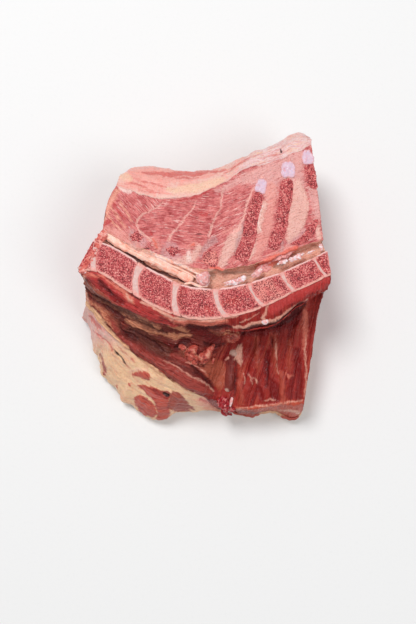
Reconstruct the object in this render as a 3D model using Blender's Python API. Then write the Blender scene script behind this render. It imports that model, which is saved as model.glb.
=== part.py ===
"""Raw lamb shoulder on the bone, with half of the neck and of the chest wall.

The carcass was sawn in two along the spine, and the shoulder lies on its outer
side with the sawn face up. +X runs from the neck to the ribs, +Y towards the
back, +Z up. The origin is on the ground, in the middle of the outline.

Lean and fat are lofts. Each is skinned over rows, which are smooth curves that
run from the neck cut (u = 0) to the rib cut (u = 1), and a section joins the
points of equal u on all rows. Bone, cartilage and cord are set into the lean.
"""

import math

import bmesh
import bpy
import numpy as np

MM = 0.001
GAP = 0.3  # between pieces that touch, mm
SEAM_GAP = 0.4  # between curved pieces, whose facets don't meet the same way

# The sawn face is one plane, a little lower towards the back.
SAWN_HEIGHT = 96.0
SAWN_SLOPE = 0.03
CANAL_DEPTH = 8.0
BODY_DEPTH = 16.0  # of the split vertebral bodies
BODY_TAPER = 2.0
PROCESS_DEPTH = 5.0
CARTILAGE_DEPTH = 4.0
CLEAR_ABOVE = 2.0  # by which a bed's cutter stands over the sawn face
BAND_HEIGHT = 70.0  # widest line of the back fat
NECK_HEIGHT = 56.0  # of the neck muscle's lower edge
CHEST_HEIGHT = 40.0  # of the chest wall's lower edge
FLAP_HEIGHT = 10.0  # of the fat flap's edge
LIP_HEIGHT = 88.0  # of the line where the meat turns down beside the bone
LIP_CROWN = 1.5
FAT_BELOW = 6.5  # thickness under the shoulder
BAND_CROWN = 7.0  # by which the back fat bulges over its widest line
RIB_RIPPLE = 1.6
RIBS = 4
HOLLOW_DEPTH = 6.0
HOLLOW_CENTRE = (-38.0, -60.0)
HOLLOW_HALF_SIZES = (22.0, 7.0)
HOLLOW_TURN = math.radians(-24)
SECTIONS = 52
CHEST_FROM, CHEST_TO = 0.50, 0.66  # in u, where the neck goes over into the chest
FLAP_FROM, FLAP_TO = 0.59, 0.71  # in u, where the fat flap goes down to the chest's edge
WAIST = 4.0  # by which the rib cut is hollow in the middle of the chest wall

# Rows in plan, mm, from the neck cut to the rib cut.
BACK_EDGE = ((-67, 88), (-60, 95), (-48, 96), (-18, 93), (8, 93), (24, 97), (38, 105), (60, 114),
             (80, 124), (88, 124), (94, 120))
FAT_LINE = ((-70, 74), (-52, 67), (-30, 62), (-8, 65), (14, 73), (34, 86), (50, 91), (72, 99),
            (93, 108))
CANAL_EDGE = ((-80, 37), (-60, 25), (-42, 19), (-20, 10), (-4, 4), (18, 3), (44, 8), (68, 17),
              (102, 28))
BONE_BACK = ((-88, 28), (-76, 24), (-58, 14), (-36, 1), (-8, -11), (20, -12), (46, -6), (74, 4),
             (105, 19))
BONE_FRONT = ((-101, 4), (-82, 0), (-62, -13), (-42, -25), (-10, -37), (18, -37), (46, -30),
              (78, -15), (108, -1))
LIP = ((-98, -2), (-84, -16), (-60, -30), (-36, -40), (0, -44), (26, -47), (58, -43), (80, -29),
       (106, -12))
MUSCLE_EDGE = ((-99, -21), (-86, -37), (-62, -60), (-34, -81), (-8, -97), (18, -106), (34, -112),
               (62, -110), (91, -108))
FLAP_EDGE = ((-108, -31), (-97, -60), (-88, -84), (-74, -102), (-58, -116), (-48, -122),
             (-34, -124), (-22, -118), (14, -116), (44, -120), (70, -119), (84, -123), (91, -118))

# Rows between the lip and the muscle's edge: share of the way and height on the neck,
# the same on the chest, undercut of the chest there, and share of the waist.
WALL_ROWS = (((0.07, 79.0), (0.0, 73.0), 4.0, 0.0), ((0.19, 71.0), (0.0, 59.0), 8.0, 0.0),
             ((0.36, 67.0), (0.08, 51.0), 0.0, 0.6), ((0.60, 63.0), (0.50, 45.0), 0.0, 1.0),
             ((0.82, 60.0), (0.82, 42.0), 0.0, 0.5))
# Section of the back: share of the way from the widest line to the canal and height.
FAT_BACK = ((0.05, 50.0), (0.16, 32.0), (0.35, 15.0), (0.58, 4.0))
SEAM_BACK = ((0.50, 19.0), (0.22, 42.0))

# Discs between the vertebrae: place of the middle along the bone's back edge and
# along its front edge, as shares of each, with the bow towards the ribs and the
# width in mm. The first and the last body are cut through.
DISCS = ((0.018, 0.075, -1.5, 4.0), (0.218, 0.244, -4.0, 6.0), (0.373, 0.406, -2.5, 5.5),
         (0.530, 0.592, -3.5, 4.5), (0.663, 0.732, -2.5, 3.5), (0.798, 0.852, -1.0, 3.0),
         (0.939, 0.981, -0.5, 2.5))

# Sawn spinous processes: centre line from the tip to the root and widths, mm.
PROCESSES = {
    "process_1": (((10, 20), (8, 13), (6, 7)), (6, 13, 15)),
    "process_2": (((49, 67), (43, 44), (40, 28), (33, 10)), (9.5, 10.5, 12, 14)),
    "process_3": (((73, 80), (70, 58), (66, 36), (59, 21)), (11.5, 11, 10, 12)),
    "process_4": (((90.5, 92), (93, 81), (94.5, 71)), (9, 9, 7)),
    "process_5": (((97, 45), (91, 35), (83, 27), (74, 24)), (5, 8, 6, 2)),
    "arch_1": (((-52, 34), (-52, 30), (-52, 26)), (5, 11, 5)),
    "arch_2": (((-23, 23), (-23, 19), (-23, 14)), (5, 12, 6)),
}
CARTILAGES = {
    "cartilage_2": (((49.4, 68), (51, 74), (52, 79)), (9.5, 9, 5)),
    "cartilage_3": (((73.2, 81.9), (73, 88), (72, 94)), (11.5, 11, 6)),
    "cartilage_4": (((90.2, 93.6), (89.6, 98), (89.5, 104)), (9.5, 9, 4.5)),
}

CORD_RADIUS = 3.0
CORD_ROUTE = ((-78, 31), (-70, 26), (-60, 20), (-50, 14.5), (-37, 9), (-25, 3), (-12, -3.5),
              (-6, -6.5))
RIB_RADIUS = 4.5
RIB_ROUTE = ((30, -60, 47), (27, -70, 44), (25, -86, 42), (23, -98, 40))
# Fat lumps and the clotted vessel: centre, half sizes and turn about Z.
LUMPS = {
    "lump_1": ((-8, -66, 64), (6.5, 5.5, 5), -50),
    "lump_2": ((4, -67, 62), (8.5, 4.5, 5), 55),
    "lump_3": ((25, -50, 58), (8.5, 5.5, 5), -10),
    "clot": ((20, -108, 40), (5.5, 7.5, 5), 25),
}

COLOURS = {
    "lean_meat": ("C9605F", 0.4),
    "fat": ("EDC2AD", 0.5),
    "bone": ("BC5D5C", 0.6),
    "cartilage": ("E3C3CC", 0.35),
    "disc": ("DDAE9C", 0.4),
    "cord": ("EEC7B3", 0.35),
    "soft_tissue": ("C07060", 0.4),
    "clot": ("B33A3C", 0.3),
}


def clear_scene():
    for obj in list(bpy.data.objects):
        bpy.data.objects.remove(obj, do_unlink=True)


def collection(name):
    made = bpy.data.collections.new(name)
    bpy.context.scene.collection.children.link(made)
    return made


def linear(hex_colour):
    """sRGB hex to linear RGBA."""
    values = [int(hex_colour[i:i + 2], 16) / 255 for i in (0, 2, 4)]
    return [v / 12.92 if v <= 0.04045 else ((v + 0.055) / 1.055) ** 2.4 for v in values] + [1.0]


def make_materials():
    made = {}
    for name, (colour, roughness) in COLOURS.items():
        material = bpy.data.materials.new(name)
        material.use_nodes = True
        shader = material.node_tree.nodes["Principled BSDF"]
        shader.inputs["Base Color"].default_value = linear(colour)
        shader.inputs["Roughness"].default_value = roughness
        shader.inputs["Metallic"].default_value = 0.0
        made[name] = material
    return made


def through(points, u):
    """Smooth curve through the points, read at u, which is 0 to 1 by chord length."""
    p = np.asarray(points, float)
    t = np.concatenate([[0.0], np.cumsum(np.linalg.norm(np.diff(p, axis=0), axis=1))])
    t /= t[-1]
    slope = np.gradient(p, t, axis=0)
    u = np.asarray(u, float)
    k = np.clip(np.searchsorted(t, u, side="right") - 1, 0, len(t) - 2)
    width = (t[k + 1] - t[k])[..., None]
    f = (u - t[k])[..., None] / width
    return (p[k] * (1 + 2 * f) * (1 - f) ** 2 + slope[k] * width * f * (1 - f) ** 2
            + p[k + 1] * f * f * (3 - 2 * f) + slope[k + 1] * width * f * f * (f - 1))


def smooth_step(low, high, u):
    """0 at low, 1 at high, which may be the smaller one."""
    f = np.clip((u - low) / (high - low), 0, 1)
    return f * f * (3 - 2 * f)


def sawn_z(xy):
    return SAWN_HEIGHT - SAWN_SLOPE * xy[..., 1]


def at_height(xy, z):
    z = np.broadcast_to(z, xy.shape[:-1])
    return np.concatenate([xy, z[..., None]], axis=-1)


def between(first, second, share):
    share = np.asarray(share, float)
    return first + (second - first) * (share[..., None] if share.ndim else share)


def shifted(row, dx=0.0, dy=0.0, dz=0.0):
    return row + np.stack(np.broadcast_arrays(dx, dy, dz), axis=-1)


def stretch(rows, count):
    """Smooth surface over the rows: for each section, count + 1 points along it."""
    stacked = np.stack(rows, axis=1)
    s = np.linspace(0, 1, count + 1)
    return np.stack([through(section, s) for section in stacked])


def straight(rows, counts):
    """Flat facets from row to row, with the given number of steps each."""
    parts = [rows[0][:, None]]
    for first, second, count in zip(rows, rows[1:], counts):
        share = np.arange(1, count + 1) / count
        parts.append(first[:, None] + (second - first)[:, None] * share[None, :, None])
    return np.concatenate(parts, axis=1)


class Rows:
    """The named rows at every section, mm."""

    def __init__(self, u):
        self.u = u
        chest = smooth_step(CHEST_FROM, CHEST_TO, u)
        self.chest = chest

        def on_face(points):
            xy = through(points, u)
            return at_height(xy, sawn_z(xy))

        self.fat_line = on_face(FAT_LINE)
        self.canal_edge = on_face(CANAL_EDGE)
        self.bone_back = on_face(BONE_BACK)
        self.bone_front = on_face(BONE_FRONT)
        self.back_edge = at_height(through(BACK_EDGE, u), BAND_HEIGHT)
        self.lip = at_height(through(LIP, u), LIP_HEIGHT)
        edge_height = NECK_HEIGHT + (CHEST_HEIGHT - NECK_HEIGHT) * chest
        self.muscle_edge = at_height(through(MUSCLE_EDGE, u), edge_height)
        self.flap_edge = at_height(through(FLAP_EDGE, u), FLAP_HEIGHT)
        # The lean ends at the muscle's edge on the neck, and near the ground on the chest.
        near_ground = shifted(self.flap_edge, 0, 2.0, 4.0)
        past_edge = between(self.muscle_edge, self.flap_edge, 0.04)
        self.low = smooth_step(FLAP_FROM, FLAP_TO, u)
        self.lean_end = between(past_edge, near_ground, self.low)

    def from_back(self, share, z):
        """Row at this share of the way from the widest line of the back to the canal."""
        return at_height(between(self.back_edge, self.canal_edge, share)[:, :2], z)

    def below_lip(self, neck, chest, undercut, waist):
        """Row between the lip and the muscle's edge: see WALL_ROWS."""
        share, height = (n + (c - n) * self.chest for n, c in zip(neck, chest))
        row = between(self.lip, self.muscle_edge, share)
        rib_end = smooth_step(0.8, 1.0, self.u)
        row = shifted(row, -WAIST * waist * rib_end, undercut * self.chest, 0)
        return at_height(row[:, :2], height)


def interface(rows):
    """The surface between lean and fat, from the lean's end under the shoulder to the fat line."""
    inside = between(rows.muscle_edge, rows.lean_end, 0.5)
    inside = shifted(inside, 2.0, 6.0, -8.0 + 2.0 * rows.low)
    inside[:, 2] = np.minimum(inside[:, 2], rows.lean_end[:, 2] - 2.0 * (1 - rows.low) - 1.0)
    low_front = at_height(between(rows.flap_edge, rows.lip, 0.22)[:, :2], FAT_BELOW)
    low_bone = at_height(rows.bone_front[:, :2], FAT_BELOW)
    low_canal = at_height(rows.canal_edge[:, :2], FAT_BELOW + 1.0)
    rising = [rows.from_back(share, height) for share, height in SEAM_BACK]
    upper = at_height(between(rows.back_edge, rows.fat_line, 0.55)[:, :2], BAND_HEIGHT - 2.0)
    front = straight([rows.lean_end, inside, low_front], [2, 2])
    back = stretch([low_front, low_bone, low_canal, *rising, upper, rows.fat_line], 11)
    back[:, 1:-1, 2] = np.maximum(back[:, 1:-1, 2], FAT_BELOW)
    surface = np.concatenate([front[:, :-1], back], axis=1)
    normal = np.cross(np.gradient(surface, axis=0), np.gradient(surface, axis=1))
    normal /= np.linalg.norm(normal, axis=2, keepdims=True)
    # Turned so that it points down under the shoulder, out of the lean.
    normal *= -np.sign(normal[len(normal) // 2, surface.shape[1] // 2, 2])
    return surface, normal


def lean_loops(rows, edge):
    """Closed sections of the lean: sawn face, canal, bone bed, lip, neck or chest, interface."""
    face = straight([edge[:, -1], rows.canal_edge], [6])
    canal_wall = shifted(rows.canal_edge, 0, -0.6, -CANAL_DEPTH)
    bed_back = shifted(rows.bone_back, 0, GAP, -CANAL_DEPTH)
    deep_back = shifted(rows.bone_back, 0, GAP - BODY_TAPER, -BODY_DEPTH - GAP)
    deep_front = shifted(rows.bone_front, 0, BODY_TAPER - GAP, -BODY_DEPTH - GAP)
    mid_front = shifted(rows.bone_front, 0, -GAP, -CANAL_DEPTH)
    front_top = shifted(rows.bone_front, 0, -GAP, 0)
    bed = straight([rows.canal_edge, canal_wall, bed_back, deep_back, deep_front, mid_front,
                    front_top], [1, 2, 1, 2, 1, 1])
    crown = shifted(between(front_top, rows.lip, 0.55), 0, 0, LIP_CROWN)
    lip = stretch([front_top, crown, rows.lip], 3)
    below = [rows.below_lip(*row) for row in WALL_ROWS]
    wall = stretch([rows.lip, *below, rows.muscle_edge], 16)
    wall[:, :, 2] += wall_relief(wall, rows)
    lower_edge = straight([rows.muscle_edge, edge[:, 0]], [2])
    return np.concatenate([face[:, :-1], bed[:, :-1], lip[:, :-1], wall[:, :-1],
                           lower_edge[:, :-1], edge[:, :-1]], axis=1)


def wall_relief(wall, rows):
    """Ribs as long low ridges under the chest lining, and the hollow beside the neck muscle."""
    s = np.linspace(0, 1, wall.shape[1])[None, :]
    inner = np.sin(np.pi * np.clip((s - 0.25) / 0.75, 0, 1)) ** 0.5
    phase = (rows.u[:, None] - CHEST_TO) / (1 - CHEST_TO) * RIBS
    ribs = RIB_RIPPLE * np.cos(2 * np.pi * phase) * rows.chest[:, None] * inner
    dx, dy = wall[..., 0] - HOLLOW_CENTRE[0], wall[..., 1] - HOLLOW_CENTRE[1]
    along = dx * math.cos(HOLLOW_TURN) + dy * math.sin(HOLLOW_TURN)
    across = dy * math.cos(HOLLOW_TURN) - dx * math.sin(HOLLOW_TURN)
    length, width = HOLLOW_HALF_SIZES
    hollow = HOLLOW_DEPTH * np.exp(-(along / length) ** 2 - (across / width) ** 2)
    return ribs - hollow


def fat_loops(rows, edge):
    """Closed sections of the fat: back band, underside, flap, interface."""
    crown = shifted(between(rows.back_edge, edge[:, -1], 0.42), 0, 0, BAND_CROWN)
    back = [rows.from_back(share, height) for share, height in FAT_BACK]
    flat_back = at_height(shifted(rows.canal_edge, 0, 6.0, 0)[:, :2], 0.0)
    flat_bone = at_height(rows.bone_front[:, :2], 0.0)
    flat_front = at_height(between(rows.flap_edge, rows.lip, 0.16)[:, :2], 0.0)
    toe = at_height(between(rows.flap_edge, rows.lip, 0.03)[:, :2], 3.0)
    under = stretch([edge[:, -1], crown, rows.back_edge, *back, flat_back, flat_bone,
                     flat_front, toe, rows.flap_edge], 24)
    under[:, :, 2] = np.maximum(under[:, :, 2], 0.0)
    crown = shifted(between(rows.flap_edge, edge[:, 0], 0.5), 0, 0, 4.0 - 3.5 * rows.low)
    shoulder = shifted(between(rows.flap_edge, edge[:, 0], 0.15), 0, 0, 3.0 - 2.7 * rows.low)
    flap = stretch([rows.flap_edge, shoulder, crown, edge[:, 0]], 6)
    return np.concatenate([under[:, :-1], flap[:, :-1], edge[:, :-1]], axis=1)


def fill_end(bm, loop, seam, flip):
    """Fills an end section with a band of triangles from its outer chain to its seam chain.

    The seam is the last points of the loop. Each step takes the shorter diagonal.
    """
    outer = loop[:-seam + 1] + [loop[-seam + 1]]
    inner = [loop[0]] + loop[-seam + 1:][::-1]
    i, j = 1, 1
    faces = [(outer[0], outer[1], inner[1])]
    while i < len(outer) - 1 or j < len(inner) - 1:
        forward = i < len(outer) - 1
        back = j < len(inner) - 1
        if forward and back:
            forward = ((outer[i + 1].co - inner[j].co).length
                       < (outer[i].co - inner[j + 1].co).length)
        ahead = outer[i + 1] if forward else inner[j + 1]
        if len({outer[i], ahead, inner[j]}) == 3:
            faces.append((outer[i], ahead, inner[j]))
        i, j = (i + 1, j) if forward else (i, j + 1)
    for face in faces:
        bm.faces.new(face[::-1] if flip else face)


def loft(name, loops, seam):
    """Closed mesh over the sections, with both ends filled, in metres."""
    sections, around = loops.shape[:2]
    bm = bmesh.new()
    grid = [[bm.verts.new(point * MM) for point in loop] for loop in loops]
    for i in range(sections - 1):
        for j in range(around):
            a, b = grid[i][j], grid[i][(j + 1) % around]
            c, d = grid[i + 1][(j + 1) % around], grid[i + 1][j]
            bm.faces.new((a, b, c))
            bm.faces.new((a, c, d))
    fill_end(bm, grid[0], seam, True)
    fill_end(bm, grid[-1], seam, False)
    if bm.calc_volume(signed=True) < 0:
        bmesh.ops.reverse_faces(bm, faces=bm.faces)
    return finish(name, bm)


def finish(name, bm):
    mesh = bpy.data.meshes.new(name)
    bm.to_mesh(mesh)
    bm.free()
    mesh.shade_smooth()
    return bpy.data.objects.new(name, mesh)


def bone_block(name, first, last, grow=0.0):
    """Split vertebra or disc between two lines across the bone band.

    A line gives its place on the back edge, on the front edge and its bow.
    The block tapers downwards and its top lies in the sawn face.
    """
    steps = 5
    w = np.linspace(0, 1, steps + 1)
    start, end = (line[0] + (line[1] - line[0]) * w + line[2] * 4 * w * (1 - w)
                  for line in (first, last))
    share = w[:, None]
    u = start[None, :] * (1 - share) + end[None, :] * share
    layers = []
    for depth, inset in ((0.0, 0.0), (CANAL_DEPTH, 0.0), (BODY_DEPTH, BODY_TAPER)):
        back = through(BONE_BACK, u)
        front = through(BONE_FRONT, u)
        back[..., 1] += grow - inset
        front[..., 1] += inset - grow
        xy = back + (front - back) * w[None, :, None]
        layers.append(at_height(xy, sawn_z(xy) - depth))
    bm = bmesh.new()
    grids = [[[bm.verts.new(p * MM) for p in line] for line in layer] for layer in layers]
    ring = ([(i, 0) for i in range(steps)] + [(steps, j) for j in range(steps)]
            + [(i, steps) for i in range(steps, 0, -1)] + [(0, j) for j in range(steps, 0, -1)])
    for layer in (grids[0], grids[-1]):
        for i in range(steps):
            for j in range(steps):
                bm.faces.new((layer[i][j], layer[i + 1][j], layer[i + 1][j + 1], layer[i][j + 1]))
    for upper, lower in zip(grids, grids[1:]):
        for (i, j), (k, m) in zip(ring, ring[1:] + ring[:1]):
            bm.faces.new((upper[i][j], upper[k][m], lower[k][m], lower[i][j]))
    inner = [v for v in bm.verts if not v.link_faces]
    bmesh.ops.delete(bm, geom=inner, context="VERTS")
    bmesh.ops.recalc_face_normals(bm, faces=bm.faces)
    return finish(name, bm)


def spine(materials, parts):
    """Eight split vertebral bodies and the seven discs between them."""
    bone_length = np.linalg.norm(np.diff(np.asarray(BONE_FRONT, float), axis=0), axis=1).sum()
    edges = [(0.0, 0.0, 0.0)]
    gap = GAP / bone_length
    for back, front, bow, width in DISCS:
        half = width / bone_length / 2
        edges.append((back - half, front - half, bow / bone_length))
        edges.append((back + half, front + half, bow / bone_length))
    edges.append((1.0, 1.0, 0.0))
    for k, (first, last) in enumerate(zip(edges, edges[1:])):
        is_disc = k % 2 == 1
        name = f"disc_{(k + 1) // 2}" if is_disc else f"vertebra_{k // 2 + 1}"
        start = (first[0] + gap, first[1] + gap, first[2]) if k else first
        end = (last[0] - gap, last[1] - gap, last[2]) if k < 2 * len(DISCS) else last
        place(bone_block(name, start, end), materials["disc" if is_disc else "bone"], parts)


def place(obj, material, parts):
    obj.data.materials.append(material)
    parts.objects.link(obj)
    return obj


def meshed(curve_object):
    """The curve as a closed mesh in place, its caps welded."""
    bpy.context.scene.collection.objects.link(curve_object)
    bpy.context.view_layer.update()
    graph = bpy.context.evaluated_depsgraph_get()
    mesh = bpy.data.meshes.new_from_object(curve_object.evaluated_get(graph))
    bm = bmesh.new()
    bm.from_mesh(mesh)
    bmesh.ops.remove_doubles(bm, verts=bm.verts, dist=1e-6)
    bmesh.ops.recalc_face_normals(bm, faces=bm.faces)
    bm.to_mesh(mesh)
    bm.free()
    obj = bpy.data.objects.new(curve_object.name, mesh)
    obj.matrix_world = curve_object.matrix_world.copy()
    name = curve_object.name
    bpy.data.objects.remove(curve_object, do_unlink=True)
    obj.name = name
    return obj


def plate(name, centre, widths, depth, grow=0.0):
    """Band along a centre line, laid into the sawn face: the round-ended sawn process."""
    s = np.linspace(0, 1, 9)
    line = through(centre, s)
    half = np.interp(s, np.linspace(0, 1, len(widths)), widths) / 2 + grow
    along = np.gradient(line, axis=0)
    along /= np.linalg.norm(along, axis=1, keepdims=True)
    side = np.stack([-along[:, 1], along[:, 0]], axis=1)
    line[0] -= along[0] * grow
    line[-1] += along[-1] * grow
    outline = np.concatenate([line + side * half[:, None], (line - side * half[:, None])[::-1]])
    curve = bpy.data.curves.new(name, "CURVE")
    curve.dimensions = "2D"
    curve.fill_mode = "BOTH"
    above = CLEAR_ABOVE if grow else 0.0
    curve.extrude = (above + depth + grow) / 2 * MM
    spline = curve.splines.new("POLY")
    spline.points.add(len(outline) - 1)
    for point, (x, y) in zip(spline.points, outline):
        point.co = (x * MM, y * MM, 0, 1)
    spline.use_cyclic_u = True
    obj = bpy.data.objects.new(name, curve)
    obj.location.z = (SAWN_HEIGHT + (above - depth - grow) / 2) * MM
    obj.rotation_euler.x = -math.atan(SAWN_SLOPE)
    return obj


def tube(name, route, radius):
    """Round bar along a smooth route, its ends closed."""
    curve = bpy.data.curves.new(name, "CURVE")
    curve.dimensions = "3D"
    curve.bevel_depth = radius * MM
    curve.bevel_resolution = 2
    curve.use_fill_caps = True
    spline = curve.splines.new("POLY")
    spline.points.add(len(route) - 1)
    for point, (x, y, z) in zip(spline.points, route):
        point.co = (x * MM, y * MM, z * MM, 1)
    return bpy.data.objects.new(name, curve)


def lump(name, centre, half_sizes, turn, grow=0.0):
    """Uneven round lump: an ellipsoid with two shallow waves round it."""
    bm = bmesh.new()
    bmesh.ops.create_uvsphere(bm, u_segments=16, v_segments=10, radius=1.0)
    angle = math.radians(turn)
    for vert in bm.verts:
        x, y, z = vert.co
        wave = 1 + 0.10 * math.sin(3 * math.atan2(y, x)) * (x * x + y * y)
        x, y, z = (value * wave * (half + grow) for value, half in zip((x, y, z), half_sizes))
        vert.co = ((x * math.cos(angle) - y * math.sin(angle) + centre[0]) * MM,
                   (x * math.sin(angle) + y * math.cos(angle) + centre[1]) * MM,
                   (z + centre[2]) * MM)
    return finish(name, bm)


def cord_route():
    """Across the canal from its back edge to the vertebral bodies, resting on its floor."""
    xy = through(CORD_ROUTE, np.linspace(0, 1, 24))
    return at_height(xy, sawn_z(xy) - CANAL_DEPTH + CORD_RADIUS + 0.5)


def rib_route():
    return through(RIB_ROUTE, np.linspace(0, 1, 10))


def cutter(obj, cutters):
    obj.name = "cut_" + obj.name
    cutters.objects.link(obj)
    obj.hide_render = True
    obj.display_type = "WIRE"
    return obj


def cut(obj, cutters, solver):
    modifier = obj.modifiers.new("beds", "BOOLEAN")
    modifier.operation = "DIFFERENCE"
    modifier.operand_type = "COLLECTION"
    modifier.collection = cutters
    modifier.solver = solver


def main():
    clear_scene()
    parts = collection("lamb_shoulder")
    beds = collection("beds")
    clot_bed = collection("clot_bed")
    materials = make_materials()

    rows = Rows(np.linspace(0, 1, SECTIONS))
    surface, normal = interface(rows)
    seam = surface.shape[1]
    lean = place(loft("lean", lean_loops(rows, surface - normal * SEAM_GAP / 2), seam),
                 materials["lean_meat"], parts)
    fat = place(loft("fat_cover", fat_loops(rows, surface + normal * SEAM_GAP / 2), seam),
                materials["fat"], parts)
    spine(materials, parts)

    for name, (centre, widths) in {**PROCESSES, **CARTILAGES}.items():
        soft = name in CARTILAGES
        depth = CARTILAGE_DEPTH if soft else PROCESS_DEPTH
        material = materials["cartilage" if soft else "bone"]
        place(meshed(plate(name, centre, widths, depth)), material, parts)
        cutter(meshed(plate(name, centre, widths, depth, GAP)), beds)
    for name, (centre, half_sizes, turn) in LUMPS.items():
        material = materials["clot" if name == "clot" else "soft_tissue"]
        place(lump(name, centre, half_sizes, turn), material, parts)
        cutter(lump(name, centre, half_sizes, turn, SEAM_GAP), beds)
    cutter(lump("clot_under", *LUMPS["clot"], SEAM_GAP), clot_bed)
    place(meshed(tube("first_rib", rib_route(), RIB_RADIUS)), materials["cartilage"], parts)
    cutter(meshed(tube("first_rib_bed", rib_route(), RIB_RADIUS + SEAM_GAP)), beds)
    place(meshed(tube("spinal_cord", cord_route(), CORD_RADIUS)), materials["cord"], parts)
    cut(lean, beds, "MANIFOLD")
    cut(fat, clot_bed, "EXACT")


main()
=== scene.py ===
"""Looks of a raw lamb shoulder on the bone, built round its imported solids.

Every surface is worked out in mm in the frame of the solids: +X from the neck cut
to the rib cut, +Y towards the back, +Z up out of the sawn face.
"""

import math

import bpy
import numpy as np
from bpy.props import FloatProperty, FloatVectorProperty, IntProperty, PointerProperty
from mathutils import Matrix


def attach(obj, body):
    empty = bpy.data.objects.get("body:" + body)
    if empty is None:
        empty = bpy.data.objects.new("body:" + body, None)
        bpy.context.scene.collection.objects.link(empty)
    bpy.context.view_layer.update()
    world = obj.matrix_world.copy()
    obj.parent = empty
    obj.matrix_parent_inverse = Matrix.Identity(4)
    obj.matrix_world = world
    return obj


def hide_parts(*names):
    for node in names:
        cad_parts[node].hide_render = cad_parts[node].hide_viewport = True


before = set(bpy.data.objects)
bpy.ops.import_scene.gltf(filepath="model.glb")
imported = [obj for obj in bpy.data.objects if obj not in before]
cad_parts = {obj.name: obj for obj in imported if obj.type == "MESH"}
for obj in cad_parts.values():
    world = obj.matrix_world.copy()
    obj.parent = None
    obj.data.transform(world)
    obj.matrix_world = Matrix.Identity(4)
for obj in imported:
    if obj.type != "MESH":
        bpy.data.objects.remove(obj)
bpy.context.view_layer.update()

bl_info = {
    "name": "Raw lamb shoulder",
    "version": (1, 0, 0),
    "blender": (4, 5, 0),
    "location": "3D View > Sidebar > Lamb",
    "description": "Dresses the solids of a raw lamb shoulder with meat, fat and sawn bone",
    "category": "Add Mesh",
}

MM = 0.001

# ---------------------------------------------------------------- the form, as in the solids

# Sizes are in mm, and places along the body are shares, from the neck cut to the rib cut. A
# row is a list of places (x, y).
SAWN_HEIGHT = 96.0
SAWN_SLOPE = 0.03
CANAL_DEPTH = 8.0
BODY_DEPTH = 16.0
BODY_TAPER = 2.0
PROCESS_DEPTH = 5.0
CARTILAGE_DEPTH = 4.0
BAND_HEIGHT = 70.0
NECK_HEIGHT = 56.0
CHEST_HEIGHT = 40.0
FLAP_HEIGHT = 10.0
LIP_HEIGHT = 88.0
LIP_CROWN = 1.5
FAT_BELOW = 6.5
BAND_CROWN = 7.0
RIB_RIPPLE = 1.6
RIBS = 4
HOLLOW_DEPTH = 6.0
HOLLOW_CENTRE = (-38.0, -60.0)
HOLLOW_HALF_SIZES = (22.0, 7.0)
HOLLOW_TURN = math.radians(-24)
CHEST_FROM, CHEST_TO = 0.50, 0.66
FLAP_FROM, FLAP_TO = 0.59, 0.71
WAIST = 0.8
FAT_WAIST = 2.5  # by which the fat is shorter than the meat over it at the rib cut
NECK_BULGE = 3.2  # of the sawn face past the neck cut
OVERLAP = 0.3  # by which meat goes under the bone set into it
ROW_LENGTH = 220.0  # along a section's row, for the noise that makes it uneven
GRAIN_LENGTH = 230.0  # of the body, for the streaks along it

BACK_EDGE = ((-67, 88), (-60, 95), (-48, 96), (-18, 93), (8, 93), (24, 97), (38, 105), (60, 114),
             (80, 124), (88, 124), (94, 120))
FAT_LINE = ((-70, 74), (-52, 67), (-30, 62), (-8, 65), (14, 73), (34, 86), (50, 91), (72, 99),
            (93, 108))
CANAL_EDGE = ((-80, 37), (-60, 25), (-42, 19), (-20, 10), (-4, 4), (18, 3), (44, 8), (68, 17),
              (102, 28))
BONE_BACK = ((-88, 28), (-76, 24), (-58, 14), (-36, 1), (-8, -11), (20, -12), (46, -6), (74, 4),
             (105, 19))
BONE_FRONT = ((-101, 4), (-82, 0), (-62, -13), (-42, -25), (-10, -37), (18, -37), (46, -30),
              (78, -15), (108, -1))
LIP = ((-98, -2), (-84, -16), (-60, -30), (-36, -40), (0, -44), (26, -47), (58, -43), (80, -29),
       (106, -12))
MUSCLE_EDGE = ((-99, -21), (-86, -37), (-62, -60), (-34, -81), (-8, -97), (18, -106), (34, -112),
               (62, -110), (91, -108))
FLAP_EDGE = ((-108, -31), (-97, -60), (-88, -84), (-74, -102), (-58, -116), (-48, -122),
             (-34, -124), (-22, -118), (14, -116), (44, -120), (70, -119), (84, -123), (91, -118))
# Rows from the lip down: share of the way to the muscle's edge and height, on the neck and in
# the chest, then undercut and share of the waist.
WALL_ROWS = (((0.07, 79.0), (0.0, 73.0), 4.0, 0.0), ((0.19, 71.0), (0.0, 59.0), 8.0, 0.0),
             ((0.36, 67.0), (0.08, 51.0), 0.0, 0.6), ((0.60, 63.0), (0.50, 45.0), 0.0, 1.0),
             ((0.82, 60.0), (0.82, 42.0), 0.0, 0.5))
# Rows round the back: share of the way from the widest line to the canal, and height.
FAT_BACK = ((0.05, 50.0), (0.16, 32.0), (0.35, 15.0), (0.58, 4.0))
SEAM_BACK = ((0.50, 19.0), (0.22, 42.0))
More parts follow.
